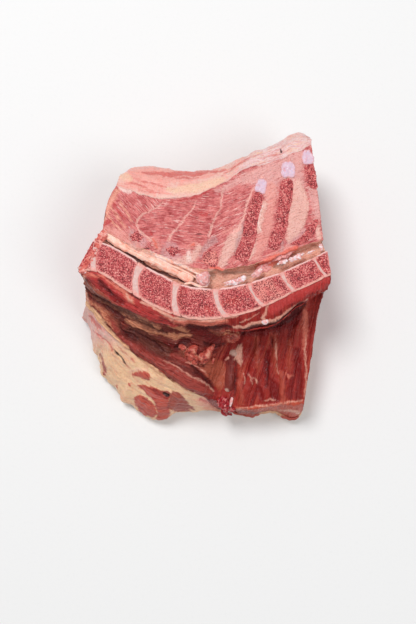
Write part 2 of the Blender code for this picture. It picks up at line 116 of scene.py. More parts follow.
# Discs: place along the back and the front edge of the bone band as shares, bow and width.
DISCS = ((0.018, 0.060, -1.5, 4.0), (0.218, 0.244, -4.0, 6.0), (0.373, 0.406, -2.5, 5.5),
         (0.530, 0.592, -3.5, 4.5), (0.663, 0.732, -2.5, 3.5), (0.798, 0.852, -1.0, 3.0),
         (0.939, 0.981, -0.5, 2.5))
PROCESSES = {  # centre line, and widths evenly along it
    "process_1": (((10, 20), (8, 13), (6, 7)), (6, 13, 15)),
    "process_2": (((49, 67), (43, 44), (40, 28), (33, 10)), (9.5, 10.5, 12, 14)),
    "process_3": (((73, 80), (70, 58), (66, 36), (59, 21)), (11.5, 11, 10, 12)),
    "process_4": (((90.5, 92), (93, 81), (94.5, 71)), (9, 9, 7)),
    "process_5": (((97, 45), (91, 35), (83, 27), (74, 24)), (5, 8, 6, 2)),
    "arch_1": (((-52, 34), (-52, 30), (-52, 26)), (5, 11, 5)),
    "arch_2": (((-23, 23), (-23, 19), (-23, 14)), (5, 12, 6)),
}
CARTILAGES = {
    "cartilage_2": (((49.4, 68), (51, 74), (52, 80)), (10, 10.5, 6.5)),
    "cartilage_3": (((73.4, 80.6), (73.2, 88), (72.2, 95)), (12.4, 13, 8.4)),
    "cartilage_4": (((90.4, 92.6), (89.8, 98), (89.4, 104.4)), (10, 9.6, 5.6)),
}
CORD_ROUTE = ((-78, 31), (-70, 26), (-60, 20), (-50, 14.5), (-37, 9), (-25, 3), (-12, -3.5),
              (-6, -6.5))
RIB_ROUTE = ((30, -60, 47), (27, -70, 44), (25, -86, 42), (23, -98, 40))
LUMPS = {  # centre, half sizes, and turn in degrees
    "lump_1": ((-8, -66, 64), (6.5, 5.5, 5), -50),
    "lump_2": ((4, -67, 62), (8.5, 4.5, 5), 55),
    "lump_3": ((25, -50, 58), (8.5, 5.5, 5), -10),
    "clot": ((20, -108, 40), (5.5, 7.5, 5), 25),
}

# ---------------------------------------------------------------- the drawing sheet

# Marks are drawn on a sheet of units of 0.82 mm in the plane of the sawn face, as seen
# from 0.7 m over it: x to the right, y down, with the middle at 208, 312. Points are parted
# by commas and marks by semicolons. Points of x, y and half width make a stroke, and points
# of x and y the outline of an area.
SHEET_UNIT = 0.82
SHEET_MIDDLE = (208.0, 312.0)
EYE = np.array([6.5, -86.7, 793.8])
EYE_DISTANCE = 700.0
EYE_TILT = math.radians(4.5)  # from straight down
RIGHT = np.array([1.0, 0.0, 0.0])
UP = np.array([0.0, math.cos(EYE_TILT), math.sin(EYE_TILT)])
AHEAD = np.array([0.0, math.sin(EYE_TILT), -math.cos(EYE_TILT)])
FAR = 60.0  # further from a mark than this counts as this far, sheet units
MARGIN = 9.0  # round a mark, within which the distance to it is worked out
EDGE_WAVES = ((1.1, 7.0, 0), (0.6, 2.2, 2))  # of marks: height in units, size in mm, seed
EDGE_SEEDS = (501, 502)  # added to that seed, for x and for y
TURNED_AWAY = 9.0  # depth in mm that marks lose where the surface faces away from the eye

MUSCLE_SEAMS = """162 202 .5, 158 206 .8, 150 211 .7, 143 215 .9, 138 219 1.1, 136 223 1.2, 139 229 1.1, 145
    236 1.3, 151 241 1.4; 196 200 .5, 192 209 .8, 187 216 .7, 181 223 .9, 175 230 .8, 171 235 1.2, 168 240
    1.6; 223 190 .6, 221 199 1.1, 221 208 .7, 217 215 1, 213 222 .8, 211 228 1.1, 208 235 1.3; 262 177 1.4,
    257 184 1, 251 193 .9, 248 201 1.2, 245 211 .9, 243 219 1.2, 240 228 1.5, 233 234 1.2"""
FACE_MARKS = {
    "seam": MUSCLE_SEAMS,
    "mottled": """214 192, 226 184, 238 177, 252 170, 268 163, 284 157, 303 148, 305 190, 300 196, 294 184,
        279 180, 277 196, 268 200, 264 192, 256 184, 248 184, 238 184, 230 189, 222 194; 313 190 5, 316 205
        5, 318 216 4""",
    "side_fat": """118 190 2, 112 200 3, 107 208 3.4, 103 217 3.2, 102 225 2.2; 121 203 .7, 126 212 .9, 131
        220 .6; 112 208 .7, 118 218 1, 125 227 .8; 108 216 .8, 113 223 1, 120 229 .8""",
    "cream": """241 226 2, 238 233 4, 233 241 6, 229 249 6.5, 225 257 5, 222 264 4; 264 203 3, 262 212 3.2,
        260 222 3, 258 231 2.6; 254 240 3, 252 250 3.5, 249 258 3; 297 184 4, 299 194 7, 300 204 9, 298 214
        10, 296 223 9, 293 232 6.5, 289 239 4; 316 222 2, 318 232 3, 320 238 2.5; 188 259 5, 195 254 4, 199
        247 3; 161 262 3, 173 262 2.4, 186 261 3.5; 124 243 1, 134 249 3, 146 256 4.5, 160 261 4""",
    "salmon": """271 188 5, 271 200 5.5, 269 212 5.5, 267 224 5.5, 264 236 5.5, 261 246 5, 257 256 4; 103
        226 2, 112 231 4.2, 121 236 5.2, 130 242 5, 139 248 3; 152 239 2.2, 156 244 3.4, 158 248 2.4; 187
        247 1.2, 192 245 2.6, 197 243 1.4; 223 233 1, 230 231 1.6, 237 228 1.2; 264 261 1.5, 272 257 3, 284
        250 3, 293 245 2""",
    "gristle": """201 257 1.5, 204 249 2.2, 209 243 3.5, 215 240 3.5; 243 221 1.6, 241 231 2, 238 242 2, 235
        251 1.6; 281 240 1.6, 282 247 2.2, 280 254 1.6; 131 232 1.2, 130 238 1.6, 134 245 1.2; 164 247 1.6,
        162 254 1.8, 166 260 1.4""",
    "spongy": """133 233 3, 138 237 6, 142 243 5; 168 244 3, 172 250 7.5, 173 256 6.5, 180 260 3; 305 231 4,
        299 238 4, 290 244 3.5""",
    # Small dark slits, and painted shade of the canal: the gap between the cord and the bone, from 104 238.
    "dark": """197 235 .2, 201 234.3 .8, 204 234 .2; 208 215 .2, 211 214.5 .5, 213 214 .2; 142 248.6 .4, 150
        248.8 .5; 104 238 .6, 112 244 1.3, 125 252 1.5, 140 262 1.4, 150 269 1.5, 162 273 1.7, 174 278 1.6,
        186 282 1.5, 193 285 1.2""",
    "red": """168 203 .4, 184 200 .8, 199 195.5 .8, 214 188 .5; 199 213 1.2, 203 214 2.2, 207 215 1.2; 151
        231 1, 152 234 1.8; 98 230 2, 103 225 2.5, 110 222 2; 99 233 2, 105 237 2.2, 111 241 1.6; 113 203
        .8, 118 211 1, 124 219 .7""",
    "tissue": """258 268 3, 263 266 5, 270 262 5, 277 258 4, 288 252 3.5, 296 248 2.5; 211 268 2, 222 270
        1.6; 152.6 239 .3, 155 243.4 1.1, 157 247.4 .7; 189.6 246 .2, 193.6 244.4 .8""",
    "pit": """242 276 1.6, 247 276.5 3, 252 275 1.6; 210 273 2, 214 277 2.4; 274 267 1.6, 279 266 2.4, 284
        264 1.4; 208 270 1, 222 272 1.2, 236 273 1.2, 252 272 1""",
    "white": """119 187 1, 124 189 3, 131 192 2; 152 252 .8, 160 257 1.6, 172 262 1.2, 184 266 1.4, 194 271
        1; 262 206 1, 259 215 1.4, 258 224 .9, 260 231 1; 188 252 1.5, 189 259 2.4""",
}

WALL_MARKS = {
    "brown": """83 282 2, 90 287 3, 100 295 3, 112 302 2.5, 124 307 2; 100 306 3, 108 314 4, 116 322 4, 118
        331 3; 183 350 4, 190 358 5, 196 366 4; 212 330 4, 222 333 3""",
    "tan": """118 309 1.2, 128 314 2.4, 139 319 2.8, 150 324 2.4, 160 328 1.6; 127 321 2, 134 324 3, 145 328
        3.2, 156 332 2.6, 166 335 2.2, 178 336 2.6, 190 335 2; 170 325 1.6, 180 328 2.2, 188 331 1.6; 96 303
        .7, 104 311 1.2, 109 319 1.8, 114 327 .9; 92 296 .5, 104 303 .7, 120 312 .6, 136 320 .6, 150 327 .5;
        90 300 .5, 101 307 .6, 110 314 .5; 226 334 3, 232 335 4, 237 334 2.5""",
    "lip_red": """80 272, 92 270, 102 272, 113 283, 125 292, 140 301, 150 304, 165 310, 178 317, 186 322,
        176 326, 165 324, 155 321, 142 317, 130 311, 118 304, 105 296, 93 285, 84 277; 246 312 3, 256 308 3,
        268 303 2; 272 310 5, 280 303 6, 290 297 7, 302 290 7, 312 285 7, 324 281 6""",
    "orange": """176 321 2, 186 323 3.4, 200 323 3.8, 214 322 3.2, 226 321 1.6; 286 373 1.2, 289 377 1.8,
        292 375 1; 304 308 1, 306 318 2.8, 305 330 3, 304 341 2, 304 350 .6; 122 289 2, 127 294 3.6,
        131 299 3.4, 134 303 1.6; 80 271 2, 88 273 2.2, 95 276 1.4, 103 276 1, 112 284 1.3, 121 290 1.6; 150
        306 .8, 160 312 1.2, 172 320 1""",
    "hem": """234 408, 262 405, 285 402, 304 400, 304 421, 290 418, 270 416, 240 416""",
    "hollow": """126 328, 133 326, 143 330, 154 336, 164 342, 172 349, 176 356, 168 358, 156 353, 144 346,
        132 338, 125 333""",
    "edge_fat": """84 298, 97 311, 105 322, 114 333, 126 343, 136 356, 153 367, 170 380, 186 389, 200 395,
        206 403, 184 397, 169 389, 149 376, 135 366, 120 351, 107 340, 97 327, 86 312""",
    "strip": """122 336, 135 344, 148 351, 162 359, 175 365, 190 374, 202 382, 212 389, 215 395, 207 396,
        195 393, 182 387, 170 379, 158 370, 145 360, 133 350, 122 342, 112 331; 90 300 2, 98 307 3.4, 105
        315 3.4, 112 323 3.4, 118 332 3; 173 355 2.5, 184 361 3, 196 367 3, 206 375 3, 213 384 2""",
    "pleura": """199 364, 206 360, 214 359, 222 361, 226 366, 227 376, 225 386, 220 390, 213 384, 206 377,
        201 370""",
    # Ribs showing through the lining; the stroke from 275 334 to 277 372 is a painted highlight on the wet
    # lining.
    "pale": """239 362 2, 240 374 2.8, 240 388 2.8, 241 404 2.8; 275 334 2.6, 275 346 3, 275 360 2.6, 277
        372 2; 281 372 2.6, 282 388 3.2, 283 402 3; 256 335 2, 257 352 2.2, 258 368 1.6; 290 340 1.6, 290
        356 2, 289 370 1.4""",
    # Deep red muscle of the chest, and painted shadow under the lip: the strokes along the lip's lower edge
    # (from 248 333, from 109 291 and from 160 318).
    "blood": """271 380 2, 274 388 5, 276 398 4; 260 388 2.5, 262 398 3; 296 350 3.5, 298 368 4, 299 385 4,
        300 399 3.5; 248 333 4, 262 331 5, 278 328 5, 292 322 5, 301 313 4; 267 352 2.5, 267 370 3.2, 267
        386 2.5; 190 326 5, 204 332 6, 216 341 5; 196 345 1.2, 200 352 1.6, 197 360 1.4; 206 348 1.2, 205
        358 1.4; 240 412.5 1.2, 256 413.5 1.8, 270 413 1; 109 291 3, 115 297 4, 122 302 3; 160 318 1.5,
        170 321 2, 180 323 1.5""",
    # Lines of fat; the thin line from 276 340 to 278 374 is a painted highlight.
    "cream": """141 302.5 .9, 150 306 1.3, 160 310.5 1.3, 173 318 1.6, 184 318.5 1.8, 197 318 2, 210 319
        2.2, 222 318 2, 236 315 1.6, 248 311 1.4, 258 307 1.2, 268 303 1, 280 298 .9, 293 292 .8; 268 304
        .7, 266 311 .9, 263 318 1, 265 322 1.4; 234 326 1.2, 244 327 2, 256 325 2.6, 266 323 2.8, 276 320
        2.2, 284 315 1.3, 290 309.5 .7, 298 304 .4, 308 298 .3; 240 322 .3, 250 319 .4, 260 313 .3; 164 361
        .4, 176 366 .6, 190 375 .5, 203 382 .6, 214 390 .9; 186 361 .3, 197 366 .5, 206 373 .5; 276 340 .3,
        276 352 .5, 277 366 .5, 278 374 .3; 305 335 .5, 306 355 .6, 306 375 .6, 305 397 .6; 243 373 .3, 245
        378 .6, 244.5 383 .3; 249 374 .3, 251.5 378 .7, 255 377.5 .5, 257.5 383 .5; 251 379 .2, 252 384 .3;
        266 400 .3, 270 398.5 .7, 275 400 .4; 84 276 1.2, 83 288 1.6, 87 299 1.4, 91 303 1; 127 293 1, 129
        298 1.6, 133 301 1; 225 361, 231 353, 237 347, 242.5 344, 243 361, 240 367, 236 360; 237 409 .4, 258
        406 .7, 280 404 .6, 303 401 .5; 272 411 .3, 286 410 .8, 298 412 1.4""",
    # Dark streaks and crumbs of the neck, and painted shade: the bands under the lip's lower edge (from 186
    # 327 and from 244 331) and the crack at 272 in the chest.
    "dark": """123 331 .8, 129 335 2.2, 137 339 1.6; 86 290 1.5, 94 296 2.2, 106 302 2.6, 118 309 2.4,
        130 314 2.2, 142 320 1.8, 152 325 1.4; 88 296 .8, 98 302 1, 110 309 1.2, 124 317 1; 134 318 1.2,
        146 324 2, 158 330 2, 166 333 1.4; 130 331 1.2, 142 336 1.6, 152 342 1.6, 163 350 1.2; 189 342
        2.5, 182 344 4, 177 347 3; 186 327 1.5, 200 329 1.8, 216 328 2.2, 230 328 1.5; 205 343 2, 214
        346 2.2, 224 344 1.5; 244 331 3, 258 328.5 3.4, 272 326 3.6, 284 321 4, 294 313 4, 302 305 4; 99
        280 1.6, 103 286 3.2, 108 291 2.4, 113 295 1; 271.5 335 .5, 272.4 341 .9, 273 347 .5; 228 361 1,
        229 375 1.6, 229 388 1.2; 236 360 .8, 236 378 1.2, 235 396 1; 267 360 .5, 267 372 .9, 267 384
        .5; 115 316 .5, 120 322 .7, 122 331 .6; 192 366 1.6, 199 374 2, 207 381 1.6, 214 388 1.2; 200
        362 .9, 204 366 1.2""",
}

FAT_MARKS = {
    "marbled": """226 184, 234 176, 240 168, 246 158, 262 148, 285 138, 312 130, 318 150, 303 160, 268 172,
        246 180""",
    "stained": """126 168, 160 165, 200 166, 222 166, 214 176, 190 180, 172 183, 160 190, 148 195, 134 190,
        124 186; 216 398, 206 394, 196 400, 205 410, 220 412""",
    "reddish": """143 172 1, 156 173 1.8, 170 175 2.4, 184 174 1.6, 198 173 2, 212 172 1.4, 226 170 1; 176
        178 .5, 186 178 1, 198 177 .5; 222 176 .3, 236 166 .8, 248 159 .6, 262 153 .3; 240 175 .3, 254 167
        .8, 268 161 .3; 262 160 .2, 276 153 .7, 292 150 .2; 125 183 .5, 134 184 .9, 144 187 1, 152 190 .6;
        134 179 .4, 146 182 .9, 158 185 .8, 166 188 .4; 140 191 .4, 150 192 .7, 160 193 .4; 94 331 .5, 101
        337 .9, 108 343 1, 113 350 .6; 122 360 .4, 128 367 .6, 134 373 .5; 90 316 1.5, 95 322 2, 100 328
        1.5; 118 346 .5, 126 354 .7, 136 362 .5; 200 400 1, 208 402 1.6, 214 406 1.4""",
    "meat": """134 375 1.5, 140 373.5 3, 146 375.5 3.8, 149 379 1.5; 133 398, 140 395, 147 397, 153 402, 157
        408, 157 414, 153 417, 146 416, 140 413, 136 407; 138 386 1.5, 146 389 3, 155 393 5, 162 402 6.5,
        164 412 6.5, 160 418 4; 130 384.6 .9, 131 385.4 .9; 117 385 .4, 117 388 .6; 232 412 1.5, 245 416 3,
        262 418 4, 280 419 4, 296 420 5""",
    # Deeper muscle showing through the fat, and painted shade over the hole beside it, in the stroke from
    # 155 391.
    "dark_meat": """101 355 1, 103 362 2, 105 369 2, 105 374 1; 172 392, 179 393, 187 401, 195 411, 186 411,
        176 412, 168 410, 168 400; 155 391 2, 160 394 3.4, 166 395 4, 170 396 3""",
    "cream": """140 392 .6, 148 394 1.2, 154 399 1.2, 157 405 .8; 172 401 .4, 179 403 .5, 186 405 .4; 175 407
        .6, 176 411 .9; 180 407 .5, 181 411 .7; 120 176 2, 126 177 4, 131 180 2; 168 190 2, 180 190 4, 195
        188 4.5, 208 185 4, 222 180 3; 213 398 2, 207 396 2.4, 200 393 1.6; 130 372 1, 137 369 1.4, 146 370
        1""",
    # Cuts and a hole in the fat, painted near black: painted shade inside them.
    "slit": """114 349 .4, 118 355.5 1.1, 122 361 .8, 126 366 .3; 209 402 .6, 212 398.6 1.5, 217 398 1.3,
        220 400.6 .8; 164.5 394 1.6, 167 396 2; 280.6 149.4 .5, 281.4 151.2 .8""",
}

BONE_MARKS = {
    "wet": """80 270 4, 86 258 5, 93 246 4, 99 236 4; 126 286 2, 130 291 3, 134 296 2; 161 306 2, 169 309
        2.5; 184 288 3, 180 297 2.5, 182 308 2; 206 308 3, 212 313 2.5; 226 303 4, 238 300 3; 318 262 4, 323
        272 4""",
    "orange": """253 279 3, 258 284 5, 262 293 5, 266 300 3; 273 298 3, 281 293 3; 286 275 2, 289 283 2, 293
        289 1.5; 196 289 2, 205 291 3, 211 290 2; 238 287 2, 246 285 2.4; 264 283 4, 270 284 4, 273 290 3;
        204 264 4, 212 258 6, 219 250 3""",
}

RIB_MARKS = {
    "bare": """226 392 3, 229 397 3.5; 230 352 3, 238 353 4""",
}

# By how much a set of marks stands over or under the surface round it, and the distance from
# its edge over which it rises, mm.
RELIEF = {"seam": (-0.3, 0.8), "side_fat": (-0.6, 2.0), "cream": (0.5, 1.2), "salmon": (0.3, 1.5),
          "gristle": (-0.3, 0.8), "spongy": (0.1, 1.0), "dark": (-1.3, 1.4), "pit": (-1.5, 1.6),
          "tissue": (1.2, 1.6), "red": (-0.2, 0.6), "mottled": (0.3, 2.5), "white": (0.6, 0.8),
          "lip_red": (0.5, 2.5), "orange": (0.8, 1.4), "hem": (0.5, 1.5), "stained": (0.0, 1.0),
          "tan": (1.2, 1.6), "strip": (3.2, 4.0), "hollow": (-0.5, 2.0), "edge_fat": (1.0, 2.0),
          "pleura": (0.8, 2.5), "pale": (0.9, 2.0), "blood": (-0.7, 2.0), "brown": (0.8, 2.0),
          "reddish": (-0.4, 0.8), "meat": (0.6, 1.4), "dark_meat": (-0.5, 1.4),
          "slit": (-2.0, 1.0), "marbled": (0.2, 2.0)}


def marks_of(text):
    """The marks of a text, as lists of points."""
    return [[tuple(map(float, point.split())) for point in mark.split(",")]
            for mark in text.split(";")]


def sheet(points):
    """Place on the drawing sheet of each point, by lines of sight from the eye."""
    seen = points - EYE
    scale = EYE_DISTANCE / SHEET_UNIT / (seen @ AHEAD)
    return np.stack([SHEET_MIDDLE[0] + (seen @ RIGHT) * scale,
                     SHEET_MIDDLE[1] - (seen @ UP) * scale], axis=-1)


def under_eye(x, y, z):
    """Points at height z that are seen at these places of the sheet, mm."""
    seen = np.asarray([x - SHEET_MIDDLE[0], SHEET_MIDDLE[1] - y]) * (SHEET_UNIT / EYE_DISTANCE)
    ray = AHEAD + seen[0][..., None] * RIGHT + seen[1][..., None] * UP
    return EYE + ray * (z - EYE[2]) / ray[..., 2:]


def in_stroke(places, points):
    """Depth inside a line of changing half width: half width less distance, at the best stretch."""
    best = np.full(len(places), -FAR)
    for (ax, ay, a_half), (bx, by, b_half) in zip(points, points[1:]):
        along = np.array([bx - ax, by - ay])
        from_a = places - (ax, ay)
        t = np.clip(from_a @ along / (along @ along), 0, 1)
        off = np.linalg.norm(from_a - t[:, None] * along, axis=1)
        best = np.maximum(best, a_half + (b_half - a_half) * t - off)
    return best


def in_area(places, corners):
    """Depth inside a closed outline: distance to its nearest side, below 0 outside, where a
    line to the left crosses the outline an even number of times."""
    nearest = np.full(len(places), FAR)
    inside = np.zeros(len(places), bool)
    for a, b in zip(np.array(corners, float), np.roll(np.array(corners, float), -1, axis=0)):
        along = b - a
        t = np.clip((places - a) @ along / (along @ along), 0, 1)
        nearest = np.minimum(nearest, np.linalg.norm(places - a - t[:, None] * along, axis=1))
        crossed = (places[:, 1] > a[1]) != (places[:, 1] > b[1])
        rise = along[1] if along[1] else 1.0
        inside ^= crossed & (places[:, 0] < a[0] + (places[:, 1] - a[1]) / rise * along[0])
    return np.where(inside, nearest, -nearest)


def drawn(points, normals, tables):
    """Depth in mm inside each set of marks, as if printed down the lines of sight, and shifted
    by noise so that no edge is straight. It falls off where the surface turns away from the
    eye, so nothing is printed through to the back."""
    places = sheet(points).reshape(-1, 2)
    flat = points.reshape(-1, 3)
    places += np.stack([sum(height * noise(flat, size, first + seed)
                            for height, size, seed in EDGE_WAVES)
                        for first in EDGE_SEEDS], axis=-1)
    to_eye = EYE - points
    facing = (normals * to_eye).sum(-1) / np.linalg.norm(to_eye, axis=-1)
    hidden = TURNED_AWAY * (1 - smooth_step(-0.08, 0.05, facing))
    found = {}
    for name, text in tables.items():
        depth = np.full(len(places), -FAR)
        for mark in marks_of(text):
            corners = np.array(mark, float)[:, :2]
            near = ((places > corners.min(axis=0) - MARGIN)
                    & (places < corners.max(axis=0) + MARGIN)).all(axis=1)
            measure = in_stroke if len(mark[0]) == 3 else in_area
            depth[near] = np.maximum(depth[near], measure(places[near], mark))
        found[name] = depth.reshape(points.shape[:-1]) * SHEET_UNIT - hidden
    return found


# ---------------------------------------------------------------- curves, rows and noise

def cubic(start, end, leaving, arriving, width, f):
    """Point at share f of a step of this width: start (1 + 2f)(1 − f)² + end f²(3 − 2f), and
    width times the slopes, leaving f(1 − f)² + arriving f²(f − 1)."""
    return (start * (1 + 2 * f) * (1 - f) ** 2 + leaving * width * f * (1 - f) ** 2
            + end * f * f * (3 - 2 * f) + arriving * width * f * f * (f - 1))


def unit(vectors):
    """The vectors, each divided by its length."""
    return vectors / np.linalg.norm(vectors, axis=-1, keepdims=True)


def run(points):
    """Distance along the points from the first to each."""
    steps = np.linalg.norm(np.diff(points, axis=0), axis=1)
    return np.concatenate([[0.0], np.cumsum(steps)])


def turned(x, y, angle):
    """The places, turned back by the angle: x cos + y sin, y cos − x sin."""
    return x * np.cos(angle) + y * np.sin(angle), y * np.cos(angle) - x * np.sin(angle)


def through(points, u):
    """Smooth curve through the points, a cubic from each to the next, read at chord share u."""
    p = np.asarray(points, float)
    t = run(p)
    t /= t[-1]
    slope = np.gradient(p, t, axis=0)
    u = np.asarray(u, float)
    k = np.clip(np.searchsorted(t, u, side="right") - 1, 0, len(t) - 2)
    width = (t[k + 1] - t[k])[..., None]
    f = (u - t[k])[..., None] / width
    return cubic(p[k], p[k + 1], slope[k], slope[k + 1], width, f)


def smooth_step(low, high, u):
    """0 at low, 1 at high, which may be the smaller one: 3f² − 2f³ of the share between."""
    f = np.clip((u - low) / (high - low), 0, 1)
    return f * f * (3 - 2 * f)


def sawn_z(xy):
    """Height of the sawn face, a plane a little lower towards the back."""
    return SAWN_HEIGHT - SAWN_SLOPE * xy[..., 1]


def at_height(xy, z):
    """The points, all moved up or down to height z."""
    z = np.broadcast_to(z, xy.shape[:-1])
    return np.concatenate([xy[..., :2], z[..., None]], axis=-1)


def between(first, second, share):
    """Points at this share of the straight way from the first to the second."""
    share = np.asarray(share, float)
    return first + (second - first) * (share[..., None] if share.ndim else share)


def shifted(row, dx=0.0, dy=0.0, dz=0.0):
    """The points, moved by dx, dy and dz."""
    return row + np.stack(np.broadcast_arrays(dx, dy, dz), axis=-1)


def noise(points, size, seed=0):
    """Smooth noise from -1 to 1: hashed values at the corners of cubes of this size, blended."""
    place = points / size
    cell = np.floor(place).astype(np.int64)
    f = place - cell
    f = f * f * (3 - 2 * f)
    total = np.zeros(points.shape[:-1])
    for corner in np.ndindex(2, 2, 2):
        x, y, z = np.moveaxis(cell + corner, -1, 0)
        code = (x * 73856093) ^ (y * 19349663) ^ (z * 83492791) ^ (seed * 668265263)
        code = ((code ^ (code >> 13)) * 1274126177) & 0x7FFFFFFF
        share = np.where(corner, f, 1 - f).prod(axis=-1)
        total += share * ((code ^ (code >> 16)) % 65536 / 32767.5 - 1)
    return total


def rough(points, size, seed=0, octaves=3):
    """Sum of noises, each of half the size and half the height of the one before."""
    return sum(noise(points, size / 2 ** k, seed + k) / 2 ** k for k in range(octaves))


def layered(points, layers):
    """Sum of rough noises, each given by its height, size and seed."""
    return sum(height * rough(points, size, seed) for height, size, seed in layers)


def threads(grain, layers):
    """Ridges along the grain: sum of noises drawn out along it, each given by its height, the
    share of its length that is kept, its width and its seed."""
    return sum(height * noise(grain * (share, 1, 0.2), width, seed)
               for height, share, width, seed in layers)


def uneven(u, size, seed):
    """Noise along a row."""
    return rough(np.stack([u * ROW_LENGTH, 0 * u, 0 * u], axis=-1), size, seed)


def wavered(points, u, amount, size, seed):
    """Smooth curve through the points, moved to its left and right by noise."""
    xy = through(points, u)
    step = unit(np.gradient(xy, axis=0))
    side = np.stack([-step[:, 1], step[:, 0]], axis=1)
    return xy + side * (amount * uneven(u, size, seed))[:, None]


def stretch(rows, counts):
    """Smooth surface over the rows: in each section a cubic from row to row, with slopes from
    the chords on both sides. Gives the points, and the share of the chord at each."""
    p = np.stack(rows, axis=1)
    chord = np.linalg.norm(np.diff(p, axis=1), axis=2)[..., None]
    steep = np.diff(p, axis=1) / chord
    inner = ((chord[:, :-1] * steep[:, 1:] + chord[:, 1:] * steep[:, :-1])
             / (chord[:, :-1] + chord[:, 1:]))
    slope = np.concatenate([steep[:, :1], inner, steep[:, -1:]], axis=1)
    start = np.concatenate([np.zeros_like(chord[:, :1]), np.cumsum(chord, axis=1)], axis=1)
    points, shares = [p[:, :1]], [start[:, :1]]
    for k, count in enumerate(counts):
        f = (np.arange(1, count + 1) / count)[None, :, None]
        width = chord[:, k:k + 1]
        points.append(cubic(p[:, k:k + 1], p[:, k + 1:k + 2], slope[:, k:k + 1],
                            slope[:, k + 1:k + 2], width, f))
        shares.append(start[:, k:k + 1] + width * f)
    return (np.concatenate(points, axis=1),
            np.concatenate(shares, axis=1)[..., 0] / start[:, -1])


def straight(rows, counts):
    """Flat facets from row to row, with the given number of steps each."""
    parts = [rows[0][:, None]]
    for first, second, count in zip(rows, rows[1:], counts):
        share = np.arange(1, count + 1) / count
        parts.append(first[:, None] + (second - first)[:, None] * share[None, :, None])
    return np.concatenate(parts, axis=1)


def stations(values, counts):
    """Values at the rows, shared out evenly over the steps between them."""
    return np.interp(np.arange(sum(counts) + 1), np.cumsum([0, *counts]), values)


class Rows:
    """The named rows at every section, mm, as in the solids but with uneven edges."""

    def __init__(self, u):
        self.u = u
        self.chest = smooth_step(CHEST_FROM, CHEST_TO, u)

        def on_face(points, waver, size, seed):
            """Row on the sawn face, moved to and fro in y by noise."""
            xy = through(points, u)
            xy[:, 1] += waver * uneven(u, size, seed)
            return at_height(xy, sawn_z(xy))

        self.fat_line = on_face(FAT_LINE, 0.9, 9.0, 1)
        self.canal_edge = on_face(CANAL_EDGE, 0.5, 6.0, 2)
        self.bone_back = on_face(BONE_BACK, 0.0, 6.0, 3)
        self.bone_front = on_face(BONE_FRONT, 0.0, 6.0, 4)
        self.deep_back = shifted(self.bone_back, 0, -OVERLAP - BODY_TAPER, -BODY_DEPTH)
        self.back_edge = at_height(wavered(BACK_EDGE, u, 0.9, 11.0, 5), BAND_HEIGHT)
        self.lip = at_height(on_face(LIP, 0.7, 12.0, 6), LIP_HEIGHT)
        edge_height = NECK_HEIGHT + (CHEST_HEIGHT - NECK_HEIGHT) * self.chest
        self.muscle_edge = at_height(on_face(MUSCLE_EDGE, 0.9, 12.0, 7), edge_height)
        self.flap_edge = at_height(wavered(FLAP_EDGE, u, 1.7, 9.0, 8), FLAP_HEIGHT)
        # The lean ends at the muscle's edge on the neck, and near the ground on the chest.
        self.low = smooth_step(FLAP_FROM, FLAP_TO, u)
        near_ground = shifted(self.flap_edge, 0, 2.0, 4.0)
        past_edge = between(self.muscle_edge, self.flap_edge, 0.04)
        self.lean_end = between(past_edge, near_ground, self.low)

    def from_back(self, share, z):
        """Row at this share of the way from the widest line of the back to the canal."""
        return at_height(between(self.back_edge, self.canal_edge, share), z)

    def below_lip(self, neck, chest, undercut, waist):
        """Row between the lip and the muscle's edge: see WALL_ROWS. The undercut fades out
        close to the rib cut, where it would fold the cut face over."""
        share, height = (n + (c - n) * self.chest for n, c in zip(neck, chest))
        row = between(self.lip, self.muscle_edge, share)
        undercut = undercut * self.chest * smooth_step(1.0, 0.95, self.u)
        row = shifted(row, -WAIST * waist * smooth_step(0.8, 1.0, self.u), undercut, 0)
        return at_height(row, height)


# Steps between the rows of the surface between lean and fat, from the lean's end under the
# shoulder by way of the front, the bone and the canal to the fat line.
SEAM_STEPS = (2, 2, 6, 6, 5, 5, 5, 3)
SEAM_AT_CANAL = sum(SEAM_STEPS[:4])


def interface(rows):
    """The surface between lean and fat."""
    inside = between(rows.muscle_edge, rows.lean_end, 0.5)
    inside = shifted(inside, 2.0, 6.0, -8.0 + 2.0 * rows.low)
    inside[:, 2] = np.minimum(inside[:, 2], rows.lean_end[:, 2] - 2.0 * (1 - rows.low) - 1.0)
    low_front = at_height(between(rows.flap_edge, rows.lip, 0.22), FAT_BELOW)
    low_bone = at_height(rows.bone_front, FAT_BELOW)
    low_canal = at_height(rows.canal_edge, FAT_BELOW + 1.0)
    rising = [rows.from_back(share, height) for share, height in SEAM_BACK]
    upper = at_height(between(rows.back_edge, rows.fat_line, 0.55), BAND_HEIGHT - 2.0)
    front = straight([rows.lean_end, inside, low_front], SEAM_STEPS[:2])
    back = stretch([low_front, low_bone, low_canal, *rising, upper, rows.fat_line],
                   SEAM_STEPS[2:])[0]
    back[:, 1:-1, 2] = np.maximum(back[:, 1:-1, 2], FAT_BELOW)
    return np.concatenate([front[:, :-1], back], axis=1)


def ring_quads(rows, around):
    """Quads between the rows of a grid, each of which closes on itself."""
    row, column = np.meshgrid(np.arange(rows - 1), np.arange(around), indexing="ij")
    after = (column + 1) % around
    return np.stack([row * around + column, row * around + after, (row + 1) * around + after,
                     (row + 1) * around + column], axis=-1).reshape(-1, 4)


def facing_out(points, faces):
    """The faces, turned round if the closed surface has its inside out: then the sum of
    (a × b) · c and (a × c) · d over the quads, six times the volume, is below 0."""
    a, b, c, d = (points[faces[0][:, k]] for k in range(4))
    if (np.cross(a, b) * c).sum() + (np.cross(a, c) * d).sum() < 0:
        return [kind[:, ::-1] for kind in faces]
    return faces


CAP_RINGS = 22


